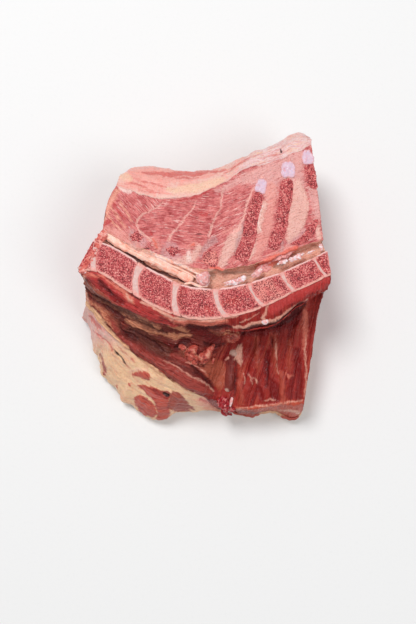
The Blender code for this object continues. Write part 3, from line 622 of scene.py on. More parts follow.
class Skin:
    """Closed sheet over the sections of a loft. A section runs from its first point along the
    outer chain to the last of its stations, and back along the seam chain. Inside each end,
    rings shrink the end section towards the line midway between its two chains."""

    def __init__(self, sides, outer, seam):
        self.outer = outer
        self.seams = seam if isinstance(seam, tuple) else (seam, seam)
        shares = np.arange(1, CAP_RINGS + 1) / (CAP_RINGS + 1)
        start = self.rings(sides[0], self.seams[0], shares[::-1])
        end = self.rings(sides[-1], self.seams[1], shares)
        self.points = np.concatenate([start, sides, end])
        self.side = slice(CAP_RINGS, CAP_RINGS + len(sides))
        self.ring = np.concatenate([shares[::-1], np.zeros(len(sides)), shares])[:, None]
        rows, around = self.points.shape[:2]
        faces = [ring_quads(rows, around),
                 np.concatenate([self.zipper(self.seams[0])[:, ::-1],
                                 self.zipper(self.seams[1]) + (rows - 1) * around])]
        self.faces = facing_out(self.points.reshape(-1, 3), faces)
        self.sign = 1.0 if self.faces is faces else -1.0

    def rings(self, section, seam, shares):
        """Each point of the section, moved by each share towards the middle line at its station."""
        last = len(self.outer)
        back = np.concatenate([section[last - 1:], section[:1]])[::-1]
        at = np.clip(np.concatenate([self.outer, seam[-2:0:-1]]), 0.02, 0.98)
        middle = np.stack([(np.interp(at, self.outer, section[:last, axis])
                            + np.interp(at, seam, back[:, axis])) / 2 for axis in range(3)], axis=1)
        return section + (middle - section) * shares[:, None, None]

    def zipper(self, seam):
        """Triangles between the two chains of an innermost ring, in order of station: each
        step goes on along the chain whose next point comes first."""
        outer_index = np.arange(len(self.outer))
        around = len(self.outer) + len(seam) - 2
        seam_index = np.concatenate([[0], np.arange(around - 1, len(self.outer) - 1, -1),
                                     [len(self.outer) - 1]])
        steps = np.concatenate([self.outer[1:], seam[1:]])
        on_outer = (np.argsort(steps, kind="stable") < len(self.outer) - 1)
        i, j = np.cumsum(on_outer), np.cumsum(~on_outer)
        triangles = np.where(
            on_outer[:, None],
            np.stack([outer_index[i - 1], outer_index[i], seam_index[j]], axis=1),
            np.stack([outer_index[i], seam_index[j], seam_index[j - 1]], axis=1))
        ordered = np.sort(triangles, axis=1)
        return triangles[(np.diff(ordered, axis=1) > 0).all(axis=1)]

    def normals(self):
        """Outward normals: the cross product of the central differences both ways."""
        along = np.gradient(self.points, axis=0)
        around = np.roll(self.points, -1, axis=1) - np.roll(self.points, 1, axis=1)
        normal = np.cross(around, along) * self.sign
        return normal / (np.linalg.norm(normal, axis=2, keepdims=True) + 1e-9)

    def over_ends(self, values):
        """Values of the sections, carried on over the rings of both ends."""
        values = np.broadcast_to(values, self.points[self.side].shape[:2])
        return np.pad(values, ((CAP_RINGS, CAP_RINGS), (0, 0)), mode="edge")

    def end_cut(self):
        """0 on the sides and 1 on the end cuts, from a little way in from their edge."""
        return np.broadcast_to(smooth_step(0.0, 0.08, self.ring), self.points.shape[:2])

    def push(self, height):
        """Moves each point out by its height."""
        self.points = self.points + self.normals() * height[..., None]


def add_piece(name, points, faces, attributes, material, node):
    """Makes the object that stands for a node: points in mm, faces as arrays of corners, and
    one value or vector a point in each attribute."""
    mesh = bpy.data.meshes.new(name)
    corners = [corner for kind in faces for corner in kind.tolist()]
    mesh.from_pydata((points.reshape(-1, 3) * MM).tolist(), [], corners)
    for key, values in attributes.items():
        vector = values.shape[-1:] == (3,) and values.ndim == points.ndim
        kind, field = ("FLOAT_VECTOR", "vector") if vector else ("FLOAT", "value")
        layer = mesh.attributes.new(key, kind, "POINT")
        layer.data.foreach_set(field, np.ascontiguousarray(values, np.float32).ravel())
    mesh.shade_smooth()
    mesh.materials.append(material)
    obj = bpy.data.objects.new(name, mesh)
    bpy.context.scene.collection.objects.link(obj)
    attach(obj, "root")
    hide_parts(node)


# ---------------------------------------------------------------- meat and fat

FACE_STEPS = 130
# Rows of the sawn meat: fat line, canal edge, canal wall, floor, under the bone, bottom.
SAWN_STEPS = (FACE_STEPS, 10, 26, 4, 5)
SAWN_STATIONS = (0.0, 0.50, 0.55, 0.66, 0.72, 1.0)
# Rows of the front meat: bottom, under the bone, its front, the lip, the wall, the edge.
FRONT_STEPS = (4, 4, 2, 3, 12, 14, 18, 20, 22, 24, 22, 15, 14)
FRONT_STATIONS = (0.0, 0.12, 0.20, 0.24, 0.27, 0.30, 0.33, 0.36, 0.38, 0.52, 0.66, 0.82, 0.95, 1.0)
# Rows of the fat: fat line, crown, widest line, back, underside, toe, flap, lean's end.
FAT_STEPS = (14, 22, 11, 11, 9, 9, 6, 6, 8, 6, 5, 10, 34, 38)
FAT_STATIONS = (0.0, 0.10, 0.20, 0.25, 0.33, 0.41, 0.48, 0.55, 0.65, 0.85, 0.90, 0.92, 0.94, 0.97,
                1.0)
GRAIN_TURNS = np.radians((-46, -4, -6, 24))  # of the fibres, muscle by muscle from the neck
GRAIN_WAVE = (1.4, 13.0)  # height and size of the waves in those fibres
FLOW_WAVE = (1.3, 15.0)  # and in the streaks on the front meat and the fat
# Relief of the bare surfaces: height, size and seed of each layer of noise, and height, share
# of the length kept, width and seed of each layer of threads, mm.
SAWN_LAYERS, SAWN_THREADS = ((0.25, 8, 11), (0.1, 2, 15)), ((0.25, 0.2, 1.0, 17),)
FRONT_LAYERS = ((0.7, 8, 21), (0.25, 2.5, 25))
FRONT_THREADS = ((0.5, 0.12, 2.4, 26), (0.25, 0.15, 1.1, 27))
FAT_LAYERS, FAT_THREADS = ((0.9, 12, 31), (0.4, 4, 35)), ((0.35, 0.12, 2.2, 37),)
FADE_COLUMNS = 8  # over which the relief rises from a seam
FLOOR_RELIEF = 0.8  # of the canal's floor
BED_SINK = 0.35  # of the meat under the sawn processes


def relief_of(marks):
    """Height of all marks together: each set's height, rising smoothly from its edge."""
    return sum(RELIEF[name][0] * smooth_step(-0.5, RELIEF[name][1], depth)
               for name, depth in marks.items())


def bed_depth(points):
    """Depth in mm inside the outlines of the processes and their cartilage, on the sawn face."""
    flat = points[..., :2].reshape(-1, 2)
    depth = np.full(len(flat), -FAR)
    blades = {name: form for name, form in PROCESSES.items() if name.startswith("process")}
    for centre, widths in (*blades.values(), *CARTILAGES.values()):
        share = np.linspace(0, 1, len(centre))
        halves = np.interp(share, np.linspace(0, 1, len(widths)), widths) / 2
        depth = np.maximum(depth, in_stroke(flat, [(*place, half)
                                                   for place, half in zip(centre, halves)]))
    return np.where(points[..., 2] > LIP_HEIGHT, depth.reshape(points.shape[:-1]), -FAR)


def muscle_grain(points):
    """Distance along and across the fibres, mm: each muscle of the sawn face has its own
    direction, and the seams on the sheet part one from the next."""
    places = sheet(points)
    seams = [np.array(seam)[:, :2] for seam in marks_of(MUSCLE_SEAMS)[:3]]
    muscle = sum((places[..., 0] > np.interp(places[..., 1], seam[:, 1], seam[:, 0])).astype(int)
                 for seam in seams)
    turn = np.choose(muscle, GRAIN_TURNS)
    height, size = GRAIN_WAVE
    x, y = points[..., 0], points[..., 1] + height * noise(points, size, 23)
    return np.stack([*turned(x, y, turn), points[..., 2]], axis=-1)


def sawn_meat_skin(rows, seam):
    """Meat behind the bone: flat sawn face, canal wall and floor, and down to the seam."""
    left = smooth_step(0.56, 0.46, rows.u)
    canal_wall = shifted(rows.canal_edge, 0, -0.6 - 5.5 * left, 4.5 * left - CANAL_DEPTH)
    bed_back = shifted(rows.bone_back, 0, -OVERLAP, -CANAL_DEPTH)
    outer = straight([rows.fat_line, rows.canal_edge, canal_wall, bed_back, rows.deep_back,
                      seam[:, SEAM_AT_CANAL]], SAWN_STEPS)
    share = np.clip(np.arange(outer.shape[1]) / FACE_STEPS, 0, 1)
    bulge = 4 * share * (1 - share) * smooth_step(0.10, 0.0, rows.u)[:, None]
    outer[:, :, 0] -= NECK_BULGE * bulge
    back = seam[:, SEAM_AT_CANAL + 1:-1]
    seam_stations = stations((0.0, 0.06, 0.20, 0.50, 1.0), SEAM_STEPS[:3:-1])
    return Skin(np.concatenate([outer, back], axis=1), stations(SAWN_STATIONS, SAWN_STEPS),
                seam_stations)


def wall_relief(wall, share, rows):
    """Ribs as long low ridges under the chest lining, and the hollow beside the neck muscle."""
    inner = np.sin(np.pi * np.clip((share - 0.25) / 0.75, 0, 1)) ** 0.5
    phase = (rows.u[:, None] - CHEST_TO) / (1 - CHEST_TO) * RIBS
    ribs = RIB_RIPPLE * np.cos(2 * np.pi * phase) * rows.chest[:, None] * inner
    along, across = turned(wall[..., 0] - HOLLOW_CENTRE[0], wall[..., 1] - HOLLOW_CENTRE[1],
                           HOLLOW_TURN)
    length, width = HOLLOW_HALF_SIZES
    return ribs - HOLLOW_DEPTH * np.exp(-(along / length) ** 2 - (across / width) ** 2)


def front_meat_skin(rows, seam):
    """Meat before the bone: lip, neck muscle and chest wall, down to the seam."""
    deep_front = shifted(rows.bone_front, 0, BODY_TAPER + OVERLAP, -BODY_DEPTH)
    mid_front = shifted(rows.bone_front, 0, OVERLAP, -CANAL_DEPTH)
    front_top = shifted(rows.bone_front, 0, OVERLAP + 0.9, -0.25)
    bed = straight([seam[:, SEAM_AT_CANAL], rows.deep_back, deep_front, mid_front, front_top],
                   FRONT_STEPS[:4])
    crown = shifted(between(front_top, rows.lip, 0.55), 0, 0, LIP_CROWN)
    lip = stretch([front_top, crown, rows.lip], FRONT_STEPS[4:6])[0]
    below = [rows.below_lip(*row) for row in WALL_ROWS]
    wall, share = stretch([rows.lip, *below, rows.muscle_edge], FRONT_STEPS[6:12])
    wall[:, :, 2] += wall_relief(wall, share, rows)
    edge = straight([rows.muscle_edge, rows.lean_end], FRONT_STEPS[12:])
    sides = np.concatenate([bed[:, :-1], lip[:, :-1], wall[:, :-1], edge,
                            seam[:, 1:SEAM_AT_CANAL]], axis=1)
    counts = SEAM_STEPS[3::-1]
    seam_stations = (stations((0.0, 0.3, 0.55, 0.85, 1.0), counts),
                     stations((0.0, 0.3, 0.80, 0.93, 1.0), counts))
    return Skin(sides, stations(FRONT_STATIONS, FRONT_STEPS), seam_stations)


def fat_skin(rows, seam):
    """Fat: band along the back, outer side that the shoulder lies on, and flap in front."""
    crown = shifted(between(rows.back_edge, rows.fat_line, 0.42), 0, 0, BAND_CROWN)
    back = [rows.from_back(share, height) for share, height in FAT_BACK]
    shorter = -FAT_WAIST * smooth_step(0.8, 1.0, rows.u)
    flat_back = at_height(shifted(rows.canal_edge, shorter, 6.0, 0), 0.0)
    flat_bone = at_height(shifted(rows.bone_front, shorter, 0, 0), 0.0)
    flat_front = at_height(shifted(between(rows.flap_edge, rows.lip, 0.16), shorter, 0, 0), 0.0)
    toe = at_height(between(rows.flap_edge, rows.lip, 0.03), 3.0)
    under = stretch([rows.fat_line, crown, rows.back_edge, *back, flat_back, flat_bone,
                     flat_front, toe, rows.flap_edge], FAT_STEPS[:11])[0]
    under[:, :, 2] = np.maximum(under[:, :, 2], 0.0)
    crown = shifted(between(rows.flap_edge, rows.lean_end, 0.5), 0, 0, 4.0 - 3.5 * rows.low)
    shoulder = shifted(between(rows.flap_edge, rows.lean_end, 0.15), 0, 0, 3.0 - 2.7 * rows.low)
    flap = stretch([rows.flap_edge, shoulder, crown, rows.lean_end], FAT_STEPS[11:])[0]
    sides = np.concatenate([under[:, :-1], flap, seam[:, 1:-1]], axis=1)
    seam_stations = stations((0.0, 0.10, 0.28, 0.42, 0.55, 0.65, 0.85, 0.95, 1.0),
                             SEAM_STEPS[::-1])
    return Skin(sides, stations(FAT_STATIONS, FAT_STEPS), seam_stations)


def flow(skin, rows, seed):
    """Distance along the body and round the mean section, mm, in slight waves."""
    step = np.linalg.norm(np.diff(skin.points[skin.side], axis=1), axis=2).mean(axis=0)
    around = np.concatenate([[0.0], np.cumsum(step)])
    along = skin.over_ends(rows.u[:, None]) * GRAIN_LENGTH
    grain = np.stack(np.broadcast_arrays(along, around[None, :], 0.0), axis=-1)
    height, size = FLOW_WAVE
    return grain + height * noise(skin.points, size, seed)[..., None]


def column_share(skin, steps, rows):
    """1 on the columns between these rows of the outer chain, 0 elsewhere."""
    column = np.arange(skin.points.shape[1])
    edges = np.cumsum([0, *steps])
    return ((column >= edges[rows[0]]) & (column <= edges[rows[1]])).astype(float)


def edge_fade(skin):
    """0 where the outer chain meets the seam chain, 1 some columns away from it."""
    column = np.arange(skin.points.shape[1])
    outer = len(skin.outer) - 1
    return np.clip(np.minimum(column, outer - column) / FADE_COLUMNS, 0, 1)[None, :]


# ---------------------------------------------------------------- sawn bone and small pieces

BLOCK_RINGS = 30
BLOCK_AROUND = 132
BLOCK_SIDE = 7  # rings down its side
DISC_WAISTS = (0.95, 0.9, 0.8, 0.8, 0.52, 0.6, 0.7)  # share of its width kept at a disc's middle
DISC_FLARE = 1.1  # by which each side of a disc spreads at its ends, mm
BAND_WIDTH = 24.0
LINE_WAVER = 0.0022  # of the lines between body and disc, as a share of the band
TOP_ROUGHNESS, TOP_SINK, TOP_LIFT = 0.22, 0.3, 0.15  # of sawn tops, which sink at the outline


def block(place, squareness, depth, seed, waver):
    """Piece set into the sawn face: rings from the middle of its top out to a rounded
    outline |a|ⁿ + |w|ⁿ = 1, down its side and back to the middle underneath. The squareness n
    is 2 in an ellipse. place turns (a, w, depth), with a and w from -1 to 1, into a point.
    Gives the grid, at each point the distance in mm from the outline, and w."""
    turn = np.linspace(0, 2 * math.pi, BLOCK_AROUND, endpoint=False)
    c, s = np.cos(turn), np.sin(turn)
    size = (np.abs(c) ** squareness + np.abs(s) ** squareness) ** (-1 / squareness)
    out = np.arange(1, BLOCK_RINGS + 1) / BLOCK_RINGS
    back_in = out[::-3]
    shares = np.concatenate([out, np.ones(BLOCK_SIDE), back_in])[:, None]
    depths = np.concatenate([np.zeros(BLOCK_RINGS), np.linspace(0.08, 1, BLOCK_SIDE) * depth,
                             np.full(len(back_in), depth)])[:, None]
    a, w = shares * (c * size), shares * (s * size)
    grid = place(a, w, np.broadcast_to(depths, a.shape))
    outline = grid[BLOCK_RINGS - 1]
    wave = 1 + waver * rough(outline, 3.5, seed) / (np.linalg.norm(
        outline - outline.mean(axis=0), axis=1) + 1)
    middle = outline.mean(axis=0)[:2]
    grid[..., :2] = middle + (grid[..., :2] - middle) * wave[None, :, None]
    rim = np.linalg.norm(grid[..., :2] - grid[BLOCK_RINGS - 1][None, :, :2], axis=-1)
    # Down the side the distance is that from the top and the underside.
    rim[BLOCK_RINGS:] = (np.minimum(depths, depth - depths) * (shares > 0.99))[BLOCK_RINGS:]
    return grid, rim, w


def bone_length():
    """Length of the bone band along its front edge, mm."""
    return run(np.asarray(BONE_FRONT, float))[-1]


def spine_lines():
    """Lines across the bone band where a body or a disc begins or ends: place on the back
    edge, place on the front edge, bow and flare at both ends, as shares of the band."""
    length = bone_length()
    flare = DISC_FLARE / length
    lines = [(0.0, 0.0, 0.0, 0.0)]
    for (back, front, bow, width), waist in zip(DISCS, DISC_WAISTS):
        half = waist * width / length / 2
        lines.append((back - half, front - half, bow / length, -flare))
        lines.append((back + half, front + half, bow / length, flare))
    return lines + [(1.0, 1.0, 0.0, 0.0)]


def on_line(line, w):
    """Place along the band of a line across it: straight, and bowed as 4w(1 − w), flared at
    both ends as |2w − 1|⁴, and wavered by noise."""
    waver = rough(np.stack([w * BAND_WIDTH, 0 * w + line[0] * 1000, 0 * w], axis=-1), 6.0, 71)
    return (line[0] + (line[1] - line[0]) * w + line[2] * 4 * w * (1 - w)
            + line[3] * np.abs(2 * w - 1) ** 4 + LINE_WAVER * waver)


def in_band(first, last, grow, widen):
    """Place function of a block between two lines of the bone band. It tapers downwards, and
    goes this far in mm under the blocks beside it."""
    widen = widen / bone_length()

    def place(a, w, depth):
        w = (w + 1) / 2
        start, end = on_line(first, w) - widen, on_line(last, w) + widen
        u = np.clip(start + (end - start) * (a + 1) / 2, 0, 1)
        back, front = through(BONE_BACK, u), through(BONE_FRONT, u)
        inset = BODY_TAPER * np.clip((depth - CANAL_DEPTH) / (BODY_DEPTH - CANAL_DEPTH), 0, 1)
        back[..., 1] += grow - inset
        front[..., 1] += inset - grow
        xy = back + (front - back) * w[..., None]
        return at_height(xy, sawn_z(xy) - depth)
    return place


def along_line(centre, widths, lift):
    """Place function of a plate along a centre line, with its width worked out along it."""
    line = np.asarray(centre, float)

    def place(a, w, depth):
        share = (a + 1) / 2
        middle = through(line, share)
        before, after = (through(line, np.clip(share + way, 0, 1)) for way in (-0.01, 0.01))
        step = unit(after - before)
        half = np.interp(share, np.linspace(0, 1, len(widths)), widths) / 2
        xy = middle + np.stack([-step[..., 1], step[..., 0]], axis=-1) * (w * half)[..., None]
        return at_height(xy, sawn_z(xy) - depth + lift)
    return place


def tube(route, side_radii, up_radii, around=28):
    """Rounded bar: an ellipse carried along the route, level across and upright, its ends
    drawn in like a half ball. Gives the grid and the distance along it."""
    step = unit(np.gradient(route, axis=0))
    across = np.stack([-step[:, 1], step[:, 0], 0 * step[:, 0]], axis=1)
    across /= np.linalg.norm(across, axis=1, keepdims=True) + 1e-9
    up = np.cross(step, across)
    length = run(route)
    end = np.minimum(length, length[-1] - length)
    taper = np.sqrt(1 - (1 - np.clip(end / (np.mean(side_radii) + 0.01), 0, 1)) ** 2)
    taper = np.maximum(taper, 0.05)
    turn = np.linspace(0, 2 * math.pi, around, endpoint=False)
    grid = (route[:, None] + across[:, None] * (np.cos(turn)[None, :, None]
            * (side_radii * taper)[:, None, None])
            + up[:, None] * (np.sin(turn)[None, :, None] * (up_radii * taper)[:, None, None]))
    return grid, np.broadcast_to(length[:, None], grid.shape[:2])


def ball(centre, half_sizes, turn, rows=44, around=64):
    """Uneven round lump: an ellipsoid with a three-sided wave round it, turned by degrees."""
    high = np.linspace(0, math.pi, rows + 2)[1:-1, None]
    round_it = np.linspace(0, 2 * math.pi, around, endpoint=False)[None, :]
    unit = np.stack([np.sin(high) * np.cos(round_it), np.sin(high) * np.sin(round_it),
                     np.cos(high) + 0 * round_it], axis=-1)
    wave = 1 + 0.10 * np.sin(3 * round_it) * np.sin(high) ** 2
    body = unit * wave[..., None] * np.array(half_sizes)
    x, y = turned(body[..., 0], body[..., 1], -math.radians(turn))
    return np.stack([x, y, body[..., 2]], axis=-1) + np.array(centre)


def with_poles(values):
    """The values of a grid in a row, and after them the means of its first and last rows."""
    return np.concatenate([values.reshape(-1, *values.shape[2:]), values[:1].mean(axis=1),
                           values[-1:].mean(axis=1)])


def closed_grid(name, grid, attributes, material, node):
    """Makes a piece of a grid, with fans of triangles to a point that closes either end."""
    rows, around = grid.shape[:2]
    column = np.arange(around)
    after = (column + 1) % around
    first = np.full(around, rows * around)
    last = (rows - 1) * around
    fans = np.concatenate([np.stack([first, after, column], axis=1),
                           np.stack([first + 1, last + column, last + after], axis=1)])
    points = with_poles(grid)
    add_piece(name, points, facing_out(points, [ring_quads(rows, around), fans]),
              {key: with_poles(values) for key, values in attributes.items()}, material, node)


def swelled(grid, bumps, middle=None):
    """Each point of the grid, moved away from the middle of its row by its share of bumps."""
    middle = grid.mean(axis=1, keepdims=True) if middle is None else middle
    return middle + (grid - middle) * (1 + bumps)[..., None]


# ---------------------------------------------------------------- sizes and colours

def linear(hex_colour):
    """sRGB hex to linear RGBA: the standard curve, channel by channel."""
    values = [int(hex_colour[i:i + 2], 16) / 255 for i in (0, 2, 4)]
    return [v / 12.92 if v <= 0.04045 else ((v + 0.055) / 1.055) ** 2.4 for v in values] + [1.0]


def tint(name, description, hex_colour):
    """A colour that a user may change."""
    return FloatVectorProperty(name=name, description=description, subtype="COLOR", size=4,
                               min=0, max=1, default=linear(hex_colour))


def length(name, description, mm):
    """A length that a user may change."""
    return FloatProperty(name=name, description=description, unit="LENGTH", min=0,
                         default=mm * MM)


class LambSizes(bpy.types.PropertyGroup):
    """Sizes of the grain and relief that a user would change"""

    sections: IntProperty(name="Sections", min=60, max=420, default=370,
                          description="Sections from the neck cut to the rib cut")
    fibre: length("Fibre bundle", "Width of a bundle of muscle fibres", 0.9)
    fleck: length("Fleck", "Length of a fleck of fat between the fibres", 9.0)
    grit: length("Grit", "Size of the finest specks that the saw leaves", 1.2)
    pore: length("Marrow pore", "Spacing of the pores of sawn spongy bone", 1.05)
    wrinkle: length("Wrinkle", "Spacing of the folds of the skin on the fat", 6.0)


class MeatColours(bpy.types.PropertyGroup):
    """Colours of the sawn meat, the lip, the neck and the chest wall"""

    muscle: tint("Muscle", "Muscle under the saw", "D87B78")
    muscle_deep: tint("Deep muscle", "Where the muscle is wetter", "B4464A")
    threads_deep: tint("Deep threads", "Stain of the dark threads", "C87A80")
    # Pale flecks of fat, lightened to stand also for painted glints on the wet muscle.
    fleck: tint("Fleck", "Fat between the fibres", "EDBDB6")
    grit: tint("Grit", "Stain of the finest specks", "EAD4D0")
    seam: tint("Seam", "Fat between two muscles", "EDAFA5")
    side_fat: tint("Side fat", "Thin fat at the neck cut", "E9A48E")
    cream: tint("Cream", "Fat beside the processes", "E6B4A8")
    white: tint("White", "Thick pale membrane", "F3D3CB")
    salmon: tint("Salmon", "Fat stained with blood", "E49A90")
    mottled: tint("Mottled", "Muscle marbled with fat", "E4AEA8")
    gristle: tint("Gristle", "Thin gristle round the bone", "BE9594")
    spongy: tint("Spongy", "Bone that the saw just touched", "D89E9E")
    pore: tint("Pore", "Blood in the pores", "7A2A34")
    floor: tint("Canal floor", "Lining of the spinal canal", "E2A892")
    pit: tint("Pit", "Holes of nerves and vessels", "B08C7C")
    tissue: tint("Tissue", "Loose red tissue in the canal", "E66C5A")
    # Also the colour of painted shade: in the gap beside the cord, in a crack of the chest and under the
    # lip.
    dark: tint("Dark", "Slits and blood spots", "481618")
    red: tint("Blood red", "Fresh blood", "B92E30")
    neck: tint("Neck", "Dark dried neck muscle", "722E28")
    brown: tint("Brown", "Dried muscle under thin fat", "9E5442")
    chest: tint("Chest", "Lining over the ribs", "9A2A24")
    lip: tint("Lip", "Muscle along the vertebrae", "B83C3A")
    hem: tint("Hem", "Fat and muscle along the bottom of the chest", "C65640")
    lip_fat: tint("Lip fat", "Fat along the vertebrae", "DDA28E")
    orange: tint("Orange", "Thin fat over the muscle", "DC7A66")
    tan: tint("Tan", "Dried fat", "DC9270")
    hollow: tint("Hollow", "Dried muscle in the hollow beside the neck", "6C382E")
    edge_fat: tint("Edge fat", "Fat of the flap where it meets the long muscle", "E8B48E")
    strip: tint("Strip", "Long muscle below the neck", "A2443C")
    pleura: tint("Lining", "Thick lining of the chest", "AA543E")
    # Also the colour of a painted highlight on the wet chest lining.
    pale: tint("Pale", "Where ribs shine through", "B4523F")
    # Deep red muscle, and the colour of the painted shadow under the lip's lower edge.
    blood: tint("Dark blood", "Deep red muscle", "700E12")
    streak: tint("Streak", "Stain of the dark streaks", "A06066")
    shine: tint("Shine", "Pale streaks of membrane", "D08A78")


class FatColours(bpy.types.PropertyGroup):
    """Colours of the fat on the back and on the flap"""

    band: tint("Back fat", "Fat along the back", "E4B6AC")
    band_pink: tint("Pink back fat", "Back fat stained with blood", "E8968C")
    marbled: tint("Marbled fat", "Back fat over the shoulder's end", "E2C4C4")
    vein: tint("Vein", "Red threads in the marbled fat", "D07A74")
    flap: tint("Flap fat", "Fat on the flap", "F0C69E")
    flap_pink: tint("Pink flap fat", "Flap fat over muscle", "E8AE8E")
    reddish: tint("Reddish", "Thin muscle in the fat", "C9605A")
    meat: tint("Meat", "Muscle that shows through the fat", "BC463C")
    # Deeper muscle, and the colour of painted shade over a hole in the flap.
    dark_meat: tint("Dark meat", "Deeper muscle in the fat", "A23A32")
    threads: tint("Threads", "Stain of the fibres in that muscle", "C07878")
    cream: tint("Cream", "Thick fat", "E6BCA2")
    # Painted shade inside the cuts and the hole in the fat.
    slit: tint("Slit", "Cuts in the fat", "2A0E0E")
    grit: tint("Grit", "Stain of the finest specks", "EEDEDA")


class BoneColours(bpy.types.PropertyGroup):
    """Colours of sawn bone, discs, cartilage, cord and lumps"""

    marrow: tint("Marrow", "Red marrow in spongy bone", "C04549")
    marrow_light: tint("Light marrow", "Marrow near the edge of the bone", "DC807A")
    wet_marrow: tint("Wet marrow", "Marrow torn by the saw", "C03A38")
    orange_marrow: tint("Orange marrow", "Marrow that has turned to fat", "E88A80")
    pore: tint("Pore", "Blood in the pores", "6A1A1E")
    grain: tint("Grain", "Grains of bone between the pores", "E8A69C")
    rim: tint("Rim", "Hard bone round the marrow", "EDC4C0")
    rim_cream: tint("Cream rim", "Fat under the front of the bone", "E8AEA0")
    disc: tint("Disc", "Disc between two vertebrae", "D0A09A")
    disc_light: tint("Light disc", "Bright fibres of the disc", "D4ADA6")
    disc_end: tint("Disc end", "Fat at the ends of a disc", "DE968C")
    cartilage: tint("Cartilage", "Cartilage on the processes", "D3B6C7")
    cartilage_pink: tint("Pink cartilage", "Stained cartilage", "D29AA6")
    cartilage_edge: tint("Cartilage edge", "Cartilage near the meat", "D6A8B0")
    cord: tint("Cord", "Spinal cord in its fat", "F4C4B2")
    cord_orange: tint("Orange cord", "Fat round the cord", "F2A08A")
    cord_white: tint("White cord", "White strand of the cord", "EED2C6")
    # Painted shade in the creases of the sheath.
    cord_groove_shade: tint("Stained cord", "Creases of the sheath", "D88872")
    lump: tint("Lump", "Fat lumps before the neck", "B44C40")
    lump_pale: tint("Pale lump", "Where a lump is pale", "D08A74")
    # Painted shade in the creases of the lumps.
    lump_dark: tint("Dark lump", "Creases of the lumps", "6A1E1A")
    lining: tint("Rib lining", "Lining over the first rib", "7A302A")
    lining_red: tint("Red lining", "Stained lining", "742E2A")
    vessel: tint("Vessel", "Small vessels in the lining", "5A1014")
    bare_gristle: tint("Bare gristle", "Gristle without lining", "C6A294")
    shred: tint("Shred", "Shreds of membrane", "EEDCDE")
    shred_pink: tint("Pink shred", "Stained shreds", "E29C98")
    crumb: tint("Crumb", "Torn flesh", "DA6C60")
    crumb_pale: tint("Pale crumb", "Torn fat", "EBA094")
    clot: tint("Clot", "Clotted blood of a vessel", "A01C26")
    clot_pink: tint("Pink clot", "Shreds in the clot", "D8807C")
    clot_dark: tint("Dark clot", "Folds of the clot", "5E0A14")


# ---------------------------------------------------------------- materials

